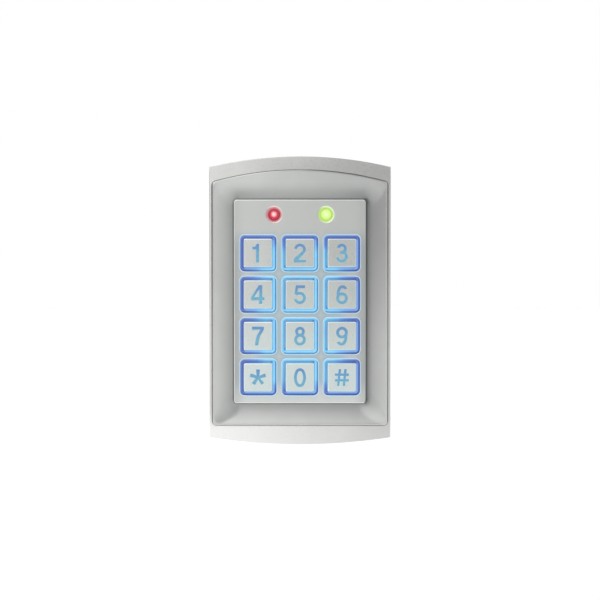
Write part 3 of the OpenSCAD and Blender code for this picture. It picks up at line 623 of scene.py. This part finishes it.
def cap_finish():
    """Brushed key caps with painted light: paler low rows, edge highlights, blue glow lower right."""
    finish, base = satin("satin_keys", colours().cap, 0.30, 0.15 * MM, NEARLY_LENGTHWISE)
    # painted light: the caps grow paler and cooler toward the lowest row
    low_row_light_share = 0.6
    base = finish.blend(
        finish.spread(finish.z, TOP_ROW, FOOT_ROW, 0.0, low_row_light_share), base, colours().cap_low_light)
    # painted highlight on the rounded edges, and a painted blue glow, also given off as emission,
    # where they face lower right
    edge = finish.rounded_edge()
    below = finish.times(edge, finish.spread(finish.leans(LOWER_RIGHT), 0.1, 0.5))
    lit = finish.blend(finish.lit_share(), colours().glow, colours().bright_glow)
    above = finish.blend(edge, base, colours().cap_edge)
    finish.vary(
        Base_Color=finish.blend(below, above, (0.25, 0.45, 0.58)), Emission_Strength=0.45,
        Emission_Color=finish.blend(below, BLACK, lit))
    return finish.material


def glow_colour(finish, share):
    """Deep blue away from the lights, through blue, to cyan beside them."""
    low = finish.blend(
        finish.spread(share, 0.0, 0.5, soft=False), colours().deep_glow, colours().glow)
    return finish.blend(finish.spread(share, 0.4, 1.0), low, colours().bright_glow)


def guide_finish():
    """Clear plastic lit from behind; painted highlight on rims' upper left, painted shade lower
    right.
    """
    finish = Finish(
        "lit_rims", Roughness=0.16, Coat_Weight=0.5, Coat_Roughness=0.05, Emission_Strength=0.92)
    cloud = finish.clouds(finish.noise(5 * MM), 0.8, 1.1)
    lit = glow_colour(finish, finish.times(finish.lit_share(), cloud))
    right, up = finish.key_offsets()
    lower_right = finish.spread(finish.minus(right, up), -2 * MM, 2 * MM)
    upper_left = finish.minus(1.0, lower_right)
    out = finish.from_key()
    width = sizes().rim_width
    # how far across the rim a place lies, from its upper left flank to its lower right one
    across = finish.plus(
        finish.times(lower_right, finish.plus(out, width)),
        finish.times(upper_left, finish.times(out, -1.0)))
    # painted highlight near each rim's upper left and a painted line of shade toward its lower right
    crest_share, line_share, edge_share = 0.5, 0.8, 0.35
    crest = finish.blend(
        finish.spread(across, 0.35 * width, 0.1 * width, 0.0, crest_share),
        lit, colours().glow_highlight)
    line = finish.times(
        finish.spread(across, 0.48 * width, 0.66 * width),
        finish.spread(across, 1.0 * width, 0.84 * width, edge_share, 1.0))
    finish.vary(
        Base_Color=finish.blend(0.85, lit, (0.02, 0.05, 0.12)),
        Emission_Color=finish.blend(
            finish.times(line, line_share), crest, colours().glow_shade))
    return finish.material


def core_finish():
    """Milky plastic that fills the numerals, lit from behind."""
    finish = Finish(
        "lit_numerals", Base_Color=(0.04, 0.09, 0.13), Roughness=0.35, Emission_Strength=0.85)
    from_light = finish.absolute(finish.offset(finish.z, FOOT_ROW - 2 * MM, PITCH_Z, ROWS))
    cloud = finish.clouds(finish.noise(1.6 * MM), 0.6, 1.1)
    share = finish.times(finish.spread(from_light, 6 * MM, 0.0), cloud)
    finish.vary(Emission_Color=finish.blend(share, colours().sign_low, colours().sign))
    return finish.material


def lamp_finish(name, place, body, heart, rim_share):
    """Tinted lens: dark at its edge, glowing toward its heart."""
    rim = darker(body, rim_share)
    finish = Finish(
        name, Base_Color=rim, Roughness=0.12, Coat_Weight=0.3, Coat_Roughness=0.03,
        Emission_Strength=1.0)
    out = finish.from_middle(place)
    skin = finish.blend(finish.spread(out, 2.6 * MM, 1.3 * MM), rim, body)
    finish.vary(
        Emission_Color=finish.blend(finish.spread(out, 1.5 * MM, 0.2 * MM), skin, heart))
    return finish.material


def silicone_finish():
    """Milky silicone rubber with a fine grain."""
    finish = Finish("silicone", Roughness=0.6, Subsurface_Weight=0.2, Subsurface_Scale=1 * MM)
    finish.vary(Base_Color=finish.blend(
        finish.noise(3 * MM), (0.62, 0.62, 0.60), (0.74, 0.74, 0.72)))
    return finish.bump(finish.noise(0.3 * MM), 0.01 * MM, 0.4).material


def board_finish(name, mask, trace):
    """Solder mask over copper tracks."""
    finish = Finish(name, Roughness=0.28, Coat_Weight=0.4, Coat_Roughness=0.15)
    tracks = finish.add("ShaderNodeTexBrick")
    tracks.offset = 0.37
    tracks.inputs["Scale"].default_value = 1.0
    for socket, value in (
            ("Mortar Size", 0.25 * MM), ("Brick Width", 6.3 * MM), ("Row Height", 1.9 * MM),
            ("Color1", BLACK), ("Color2", (0.25, 0.25, 0.25)), ("Mortar", (1.0, 1.0, 1.0))):
        finish.put(tracks.inputs[socket], value)
    turned = finish.add("ShaderNodeCombineXYZ")
    finish.put(turned.inputs[0], finish.x)
    finish.put(turned.inputs[1], finish.z)
    finish.put(tracks.inputs["Vector"], turned.outputs[0])
    finish.vary(Base_Color=finish.blend(tracks.outputs["Color"], mask, trace))
    return finish.bump(tracks.outputs["Color"], 0.03 * MM, 0.6).material


def moulded_finish(name, tint, roughness=0.45, grain=0.25 * MM):
    """Moulded plastic or rubber with a fine spark-eroded grain."""
    finish = Finish(name)
    texture = finish.noise(grain, 3.0)
    worn = tuple(1.25 * c + 0.01 for c in tint)
    finish.vary(
        Base_Color=finish.blend(finish.spread(finish.noise(9 * MM), 0.4, 0.75), tint, worn),
        Roughness=finish.spread(texture, 0.2, 0.8, roughness - 0.06, roughness + 0.08))
    return finish.bump(texture, 0.012 * MM, 0.5).material


def copper_finish():
    """Enamelled wire wound side by side."""
    finish = Finish("enamelled_copper", Metallic=1.0, Roughness=0.28)
    turns = finish.add("ShaderNodeTexWave")
    turns.bands_direction = "Y"
    turns.inputs["Scale"].default_value = 1.0 / (0.35 * MM)
    turns.inputs["Distortion"].default_value = 0.6
    finish.put(turns.inputs["Vector"], finish.place)
    finish.vary(Base_Color=finish.blend(
        turns.outputs["Fac"], (0.30, 0.09, 0.03), (0.72, 0.30, 0.12)))
    return finish.bump(turns.outputs["Fac"], 0.08 * MM, 0.8).material


def emitter_finish():
    """Chip lamps: pale phosphor under clear resin."""
    finish = Finish(
        "chip_lamps", Roughness=0.2, Emission_Color=(0.25, 0.55, 1.0), Emission_Strength=2.0)
    finish.vary(Base_Color=finish.blend(
        finish.noise(0.5 * MM), (0.75, 0.72, 0.40), (0.85, 0.82, 0.55)))
    return finish.material


def bracket_finish():
    """Zinc-plated steel: pale spangle with a faint yellow passivation."""
    finish = Finish("zinc_plate", Metallic=1.0)
    spangle = finish.add("ShaderNodeTexVoronoi")
    spangle.inputs["Scale"].default_value = 1.0 / (3.5 * MM)
    finish.put(spangle.inputs["Vector"], finish.place)
    tone = finish.add("ShaderNodeSeparateColor")
    finish.put(tone.inputs[0], spangle.outputs["Color"])
    grain = finish.noise(0.3 * MM, 3.0)
    red, green, _ = tone.outputs
    finish.vary(
        Base_Color=finish.blend(red, (0.46, 0.47, 0.47), (0.60, 0.60, 0.57)),
        Roughness=finish.spread(green, 0.0, 1.0, 0.26, 0.42))
    return finish.bump(grain, 0.004 * MM, 0.5).material


def screw_finish():
    """Plain turned steel with tool marks and a little oil darkening."""
    finish = Finish("turned_steel", Metallic=1.0, Roughness=0.30)
    marks = finish.noise(0.12 * MM, 2.0)
    finish.vary(Base_Color=finish.blend(
        finish.noise(1.5 * MM), (0.36, 0.37, 0.38), (0.52, 0.53, 0.54)))
    return finish.bump(marks, 0.01 * MM, 0.5).material


# ---------------------------------------------------------------- the pieces

def near(value, target):
    """Whether two places are the same, give or take a modelling error."""
    return abs(value - target) < 0.02 * MM


class READER_OT_housing(Operator):
    """Satin cast housing with softened edges"""

    bl_idname = "reader.housing"
    bl_label = "Housing"

    def execute(self, context):
        seat_y = -6 * MM
        bm = welded("front_housing")
        round_edges(bm, lambda p: p.y < seat_y, sizes().cast_edge, 3)
        add_piece("housing", bm, housing_finish(), FIXED, "cast_satin", "front_housing")
        return {"FINISHED"}


def dish_outline(share):
    """A level line of the dish, at a share of the way out from the key plate's opening to the rim:
    bowed head, straight sides and foot, rounded corners."""
    low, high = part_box("bezel_frame")
    gap = sizes().plate_gap

    def part(inner, outer):
        return inner + (outer - inner) * share

    half = part(PLATE_RIGHT + gap, high.x)
    head, foot = part(PLATE_HEAD + gap, high.z), part(PLATE_FOOT - gap, low.z)
    corner = part(sizes().plate_corner, sizes().surround_corner)
    corner += 4 * sizes().dish_corner * share * (1 - share)
    rise = max(LEAST_BOW, share * sizes().surround_rise)
    bow = (half ** 2 + rise ** 2) / (2 * rise)
    bow_z = head - bow
    x = half - corner
    z = bow_z + math.sqrt((bow - corner) ** 2 - x ** 2)
    lean = math.degrees(math.atan2(z - bow_z, x))
    return (
        arc((x, z), corner, 0, lean, CORNER_STEPS)
        + arc((0, bow_z), bow, lean, 180 - lean, SIDE_STEPS)[1:-1]
        + arc((-x, z), corner, 180 - lean, 180, CORNER_STEPS)
        + between((-half, z), (-half, foot + corner), SIDE_STEPS)
        + arc((-x, foot + corner), corner, 180, 270, CORNER_STEPS)
        + between((-x, foot), (x, foot), SIDE_STEPS)
        + arc((x, foot + corner), corner, 270, 360, CORNER_STEPS)
        + between((half, foot + corner), (half, z), SIDE_STEPS))


def plate_face():
    """Lowest and highest x and z of the key plate's front face."""
    face_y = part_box("face_plate")[0].y
    points = [v.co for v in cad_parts["face_plate"].data.vertices if near(v.co.y, face_y)]
    return (
        min(p.x for p in points), max(p.x for p in points),
        min(p.z for p in points), max(p.z for p in points))


PLATE_LEFT, PLATE_RIGHT, PLATE_FOOT, PLATE_HEAD = plate_face()
CREST = 0.93  # share of the way out at which the dish meets its rim
DISH_HOLLOW, RIM_ROLL = 1.35, 2.5  # powers that shape the slope and the rim
LEAST_BOW = 0.02 * MM


def dish_height(share, rim_z):
    """Height at a share of the way out from the plate: a hollow slope, then a rolled rim."""
    soft = 0.08 * MM
    slope = rim_z - sizes().dish_depth * (1 - (share / CREST) ** DISH_HOLLOW)
    over = max(0.0, (share - CREST) / (1 - CREST))
    rim = rim_z - sizes().rim_drop * over ** RIM_ROLL
    lower = min(slope, rim)
    return lower - soft * math.log1p(math.exp(-abs(slope - rim) / soft))


class READER_OT_surround(Operator):
    """Dished surround with a rolled rim"""

    bl_idname = "reader.surround"
    bl_label = "Surround"

    def execute(self, context):
        low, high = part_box("bezel_frame")
        rim_z, seat_z = -low.y, -high.y
        slope_steps, rim_steps = 28, 14
        shares = [k / slope_steps * CREST for k in range(slope_steps)]
        shares += [CREST + (1 - CREST) * k / rim_steps for k in range(rim_steps + 1)]
        rings = [ring(dish_outline(0.0), seat_z)]
        rings += [ring(dish_outline(share), dish_height(share, rim_z)) for share in shares]
        rings.append(ring(dish_outline(1.0), seat_z))
        bm = bmesh.new()
        loft(bm, rings + [rings[0]])
        bmesh.ops.remove_doubles(bm, verts=bm.verts, dist=WELD / 4)
        add_piece("surround", bm, surround_finish(), FIXED, "surround_satin", "bezel_frame")
        return {"FINISHED"}


class READER_OT_plate(Operator):
    """Brushed key plate with rounded lip and openings"""

    bl_idname = "reader.plate"
    bl_label = "Key plate"

    def execute(self, context):
        face_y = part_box("face_plate")[0].y
        edge = 1.5 * MM

        def on_face(p):
            return near(p.y, face_y)

        def on_lip(p):
            inside = PLATE_LEFT + edge < p.x < PLATE_RIGHT - edge
            return on_face(p) and not (inside and PLATE_FOOT + edge < p.z < PLATE_HEAD - edge)

        bm = welded("face_plate")
        round_edges(bm, lambda p: on_face(p) and not on_lip(p), sizes().opening_edge, 3)
        round_edges(bm, on_lip, sizes().plate_edge, 4)
        add_piece("key_plate", bm, plate_finish(), FIXED, "plate_satin", "face_plate")
        return {"FINISHED"}


class READER_OT_light_guide(Operator):
    """Light guide with a rounded, glowing rim round each key"""

    bl_idname = "reader.light_guide"
    bl_label = "Light guide"

    def execute(self, context):
        face_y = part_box("light_guide")[0].y
        bm = welded("light_guide")
        round_edges(bm, lambda p: near(p.y, face_y), sizes().rim_edge, 4)
        add_piece("glow_frames", bm, guide_finish(), FIXED, "guide_glow", "light_guide")
        return {"FINISHED"}


class READER_OT_key_caps(Operator):
    """Satin key caps with the numerals cut through"""

    bl_idname = "reader.key_caps"
    bl_label = "Key caps"

    def execute(self, context):
        material = cap_finish()
        border = CAP_HALF - 1.0 * MM
        for name in KEY_NAMES:
            node = "key_cap_" + name
            face_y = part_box(node)[0].y
            centre = middle(node)

            def on_border(p):
                out = max(abs(p.x - centre[0]), abs(p.z - centre[1]))
                return near(p.y, face_y) and out > border

            def on_sign(p):
                return near(p.y, face_y) and not on_border(p)

            bm = welded(node)
            round_edges(bm, on_sign, sizes().sign_edge, 2, clamp=True)
            round_edges(bm, on_border, sizes().cap_edge, 4)
            add_piece("cap_" + name, bm, material, "key_" + name, "key_satin", node)
        return {"FINISHED"}


class READER_OT_key_cores(Operator):
    """Lit cores that fill the numerals"""

    bl_idname = "reader.key_cores"
    bl_label = "Key cores"

    def execute(self, context):
        material = core_finish()
        for name in KEY_NAMES:
            finish_part("key_core_" + name, material)
        return {"FINISHED"}


def revolve(profile, place, steps=64):
    """A turned solid about an axis out of the wall, from (radius, height) pairs."""
    bm = bmesh.new()
    rings = [ring(arc(place, radius, 0, 360, steps)[:-1], height) for radius, height in profile]
    rows = loft(bm, rings)
    for row in (rows[0], rows[-1]):
        bm.faces.new(row)
    return bm


class READER_OT_lamps(Operator):
    """Round red and green lamps"""

    bl_idname = "reader.lamps"
    bl_label = "Lamps"

    def execute(self, context):
        lamps = (
            ("red", RED_LAMP, colours().red, colours().red_heart, 0.3),
            ("green", GREEN_LAMP, colours().green, colours().green_heart, 0.55))
        flange_width, flange_thickness, lip = 0.4 * MM, 1.0 * MM, 0.15 * MM
        nearly_upright, dome_steps = 88, 22
        for name, place, body, heart, rim_share in lamps:
            node = "status_lamp_" + name
            low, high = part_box(node)
            flange = (high.x - low.x) / 2
            radius = flange - flange_width
            foot, tip = -high.y, -low.y
            ledge = foot + flange_thickness
            profile = [
                (flange - lip, foot), (flange, foot + lip), (flange, ledge - lip),
                (flange - lip, ledge), (radius, ledge)]
            dome = arc((0.0, tip - radius), radius, 0, nearly_upright, dome_steps)
            bm = revolve(profile + dome, place)
            material = lamp_finish("lamp_" + name, place, body, heart, rim_share)
            add_piece("lamp_" + name, bm, material, FIXED, name + "_lamp", node)
        return {"FINISHED"}


class READER_OT_boards(Operator):
    """Silicone mat, circuit boards, chip lamps, plug and antenna"""

    bl_idname = "reader.boards"
    bl_label = "Boards"

    def execute(self, context):
        finish_part("key_mat", silicone_finish())
        green = board_finish("green_board", (0.015, 0.13, 0.05), (0.05, 0.28, 0.10))
        blue = board_finish("blue_board", (0.012, 0.07, 0.16), (0.04, 0.18, 0.32))
        finish_part("keypad_board", green, 0.1 * MM)
        finish_part("main_board", blue, 0.1 * MM)
        finish_part("backlight_leds", emitter_finish(), 0.06 * MM)
        finish_part("board_link", moulded_finish("black_plug", (0.02, 0.02, 0.022)), 0.12 * MM)
        finish_part("reader_coil", copper_finish(), 0.2 * MM, 3)
        return {"FINISHED"}


class READER_OT_components(Operator):
    """Relay, sounder, chip, capacitor, header and light sensor"""

    bl_idname = "reader.components"
    bl_label = "Components"

    def execute(self, context):
        white = moulded_finish("white_plastic", (0.72, 0.71, 0.66), 0.4)
        black = moulded_finish("black_plastic", (0.022, 0.023, 0.025), 0.42)
        finish_part("relay", white, 0.3 * MM, 3)
        finish_part("harness_header", white, 0.08 * MM)
        finish_part("buzzer", black, 0.25 * MM, 3)
        finish_part("controller_chip", black, 0.12 * MM)
        can, _ = satin("can_aluminium", (0.80, 0.81, 0.82), 0.25)
        finish_part("power_capacitor", can.material, 0.15 * MM)
        resin = moulded_finish("sensor_resin", (0.16, 0.02, 0.015), 0.15)
        finish_part("tamper_sensor", resin, 0.2 * MM, 3)
        return {"FINISHED"}


class READER_OT_rear(Operator):
    """Rear cover, its seal and the cable grommet"""

    bl_idname = "reader.rear"
    bl_label = "Rear cover"

    def execute(self, context):
        rubber = moulded_finish("black_rubber", (0.018, 0.018, 0.019), 0.7, 0.5 * MM)
        grey = moulded_finish("grey_plastic", (0.045, 0.047, 0.05), 0.5)
        finish_part("back_cover", grey, 0.15 * MM)
        finish_part("rear_seal", rubber)
        finish_part("cable_grommet", rubber, 0.2 * MM, 3)
        return {"FINISHED"}


class READER_OT_bracket(Operator):
    """Pressed steel wall bracket"""

    bl_idname = "reader.bracket"
    bl_label = "Wall bracket"

    def execute(self, context):
        bm = welded("wall_bracket")
        round_edges(bm, lambda p: True, 0.18 * MM, 3, clamp=True)
        add_piece("bracket", bm, bracket_finish(), FIXED, "zinc_plated_steel", "wall_bracket")
        return {"FINISHED"}


class READER_OT_screws(Operator):
    """All screws"""

    bl_idname = "reader.screws"
    bl_label = "Screws"

    def execute(self, context):
        material = screw_finish()
        for node in (
                "clamp_screws", "board_screws", "keypad_screws", "cover_screws",
                "security_screw"):
            finish_part(node, material, 0.08 * MM)
        return {"FINISHED"}


# ---------------------------------------------------------------- stage

LIGHT_PLACE, LIGHT_SIZE = (-0.6, -0.5, 0.6), 0.5


def area_light(name, place, target, size, power):
    """A square soft light that faces a target."""
    light = bpy.data.lights.new(name, "AREA")
    light.size = size
    light.energy = power
    obj = bpy.data.objects.new(name, light)
    obj.location = place
    obj.rotation_euler = (Vector(target) - Vector(place)).to_track_quat("-Z", "Y").to_euler()
    bpy.context.scene.collection.objects.link(obj)


# Light that reaches the reader from its room: a direction, the angles in degrees within which it is
# full and beyond which it is gone, and how much it adds to an even white room.
ROOM_LIGHT = (
    ((0.0, -1.0, 0.15), 12, 58, -0.22),     # the dim side that the reader is looked at from
    ((0.0, -0.9, -0.40), 5, 32, 0.24),
    ((-0.88, -0.47, 0.0), 8, 30, -0.48),
    ((0.80, -0.6, 0.0), 10, 35, -0.08),
    ((0.0, -0.5, 0.85), 10, 45, 0.18),
    ((0.30, -0.92, 0.22), 4, 15, 0.25),
    ((0.52, -0.66, 0.52), 5, 24, 0.50),
    ((-0.6, -0.5, 0.7), 5, 30, 0.10))
# The front of the room is brighter on the left than on the right: by this much, within this x, and
# evened out again from one x to another
SIDE_TILT, TILT_REACH, TILT_FADE = 0.56, 0.12, (0.18, 0.42)
# Behind the reader the room is dim by this much, from one y to another, but not far behind it
BACK_DIM, DIM_FROM, DIM_TO = -0.6, (-0.15, 0.12), (0.55, 0.85)


def light_room():
    """White backdrop to the eye; for the metal, a white room with a dimmer front."""
    world = bpy.data.worlds.new("studio")
    nodes = Nodes(world)
    direction = nodes.add("ShaderNodeTexCoord").outputs["Generated"]
    split = nodes.add("ShaderNodeSeparateXYZ")
    nodes.put(split.inputs[0], direction)
    x, y, _ = split.outputs

    def lobe(toward, full, gone, amount):
        lean = nodes.add("ShaderNodeVectorMath")
        lean.operation = "DOT_PRODUCT"
        nodes.put(lean.inputs[0], direction)
        lean.inputs[1].default_value = Vector(toward).normalized()
        near_cos, far_cos = math.cos(math.radians(full)), math.cos(math.radians(gone))
        return nodes.spread(lean.outputs["Value"], far_cos, near_cos, 0.0, amount)

    tilt = nodes.spread(x, -TILT_REACH, TILT_REACH, SIDE_TILT, -SIDE_TILT)
    tilt_share = nodes.spread(nodes.absolute(x), *TILT_FADE, 1.0, 0.0)
    level = nodes.plus(1.0, nodes.times(tilt, tilt_share))
    dim = nodes.times(nodes.spread(y, *DIM_FROM), nodes.spread(y, *DIM_TO, 1.0, 0.0))
    level = nodes.plus(level, nodes.times(dim, BACK_DIM))
    for light in ROOM_LIGHT:
        level = nodes.plus(level, lobe(*light))
    level = nodes.work_out("MAXIMUM", level, 0.0)
    room, backdrop = nodes.add("ShaderNodeBackground"), nodes.add("ShaderNodeBackground")
    for background in (room, backdrop):
        nodes.put(background.inputs["Color"], (1.0, 1.0, 1.0))
    nodes.put(room.inputs["Strength"], level)
    choice = nodes.add("ShaderNodeMixShader")
    path = nodes.add("ShaderNodeLightPath")
    for socket, source in zip(
            choice.inputs, (path.outputs["Is Camera Ray"], room.outputs[0], backdrop.outputs[0])):
        nodes.put(socket, source)
    nodes.put(nodes.add("ShaderNodeOutputWorld").inputs["Surface"], choice.outputs[0])
    bpy.context.scene.world = world


def lay_floor(height):
    """Plain pale floor, well below the reader."""
    reach, cells = 6.0, 12
    bm = bmesh.new()
    bmesh.ops.create_grid(bm, x_segments=cells, y_segments=cells, size=reach)
    for vert in bm.verts:
        vert.co.z = height
    mesh = bpy.data.meshes.new("floor")
    bm.to_mesh(mesh)
    bm.free()
    finish = Finish(
        "pale_floor", Roughness=0.9, Emission_Color=(1.0, 1.0, 1.0), Emission_Strength=0.30)
    finish.vary(Base_Color=finish.blend(
        finish.noise(0.4), (0.90, 0.90, 0.90), (0.94, 0.94, 0.94)))
    mesh.materials.append(finish.material)
    floor = bpy.data.objects.new("floor", mesh)
    bpy.context.scene.collection.objects.link(floor)


class READER_OT_stage(Operator):
    """Camera, floor and soft light"""

    bl_idname = "reader.stage"
    bl_label = "Stage"

    def execute(self, context):
        stage = context.scene.reader_stage
        low, high = CAD_BOX
        centre = Vector((0.0, low.y, (low.z + high.z) / 2 + stage.aim_lift))
        context.scene.view_settings.view_transform = "Standard"
        lay_floor(low.z - stage.floor_drop)
        light_room()
        area_light("left_light", LIGHT_PLACE, centre, LIGHT_SIZE, stage.key_power)
        lens = bpy.data.cameras.new("camera")
        lens.lens = stage.lens
        lens.clip_start = 0.01
        camera = bpy.data.objects.new("camera", lens)
        back = Vector((0.0, -math.cos(stage.elevation), math.sin(stage.elevation)))
        camera.location = centre + back * stage.distance
        camera.rotation_euler = (-back).to_track_quat("-Z", "Y").to_euler()
        context.scene.collection.objects.link(camera)
        context.scene.camera = camera
        return {"FINISHED"}


# ---------------------------------------------------------------- sidebar, registration and run

STEPS = (
    READER_OT_stage, READER_OT_housing, READER_OT_surround, READER_OT_plate,
    READER_OT_light_guide, READER_OT_key_caps, READER_OT_key_cores, READER_OT_lamps,
    READER_OT_boards, READER_OT_components, READER_OT_rear, READER_OT_bracket, READER_OT_screws)


class READER_PT_sidebar(Panel):
    """Lists the reader's pieces and their settings"""

    bl_idname = "READER_PT_sidebar"
    bl_label = "Keypad access reader"
    bl_space_type = "VIEW_3D"
    bl_region_type = "UI"
    bl_category = "Reader"

    def draw(self, context):
        for step in STEPS:
            self.layout.operator(step.bl_idname)
        for group in SETTINGS:
            settings = getattr(context.scene, group)
            box = self.layout.box()
            for name in settings.__annotations__:
                box.prop(settings, name)


SETTINGS = {
    "reader_sizes": ReaderSizes, "reader_colours": ReaderColours, "reader_stage": ReaderStage}


def register():
    for kind in (*SETTINGS.values(), *STEPS, READER_PT_sidebar):
        bpy.utils.register_class(kind)
    for name, kind in SETTINGS.items():
        setattr(bpy.types.Scene, name, PointerProperty(type=kind))


def unregister():
    for name in SETTINGS:
        delattr(bpy.types.Scene, name)
    for kind in reversed((*SETTINGS.values(), *STEPS, READER_PT_sidebar)):
        bpy.utils.unregister_class(kind)


def main():
    register()
    for step in STEPS:
        group, name = step.bl_idname.split(".")
        getattr(getattr(bpy.ops, group), name)()


if __name__ == "__main__":
    main()
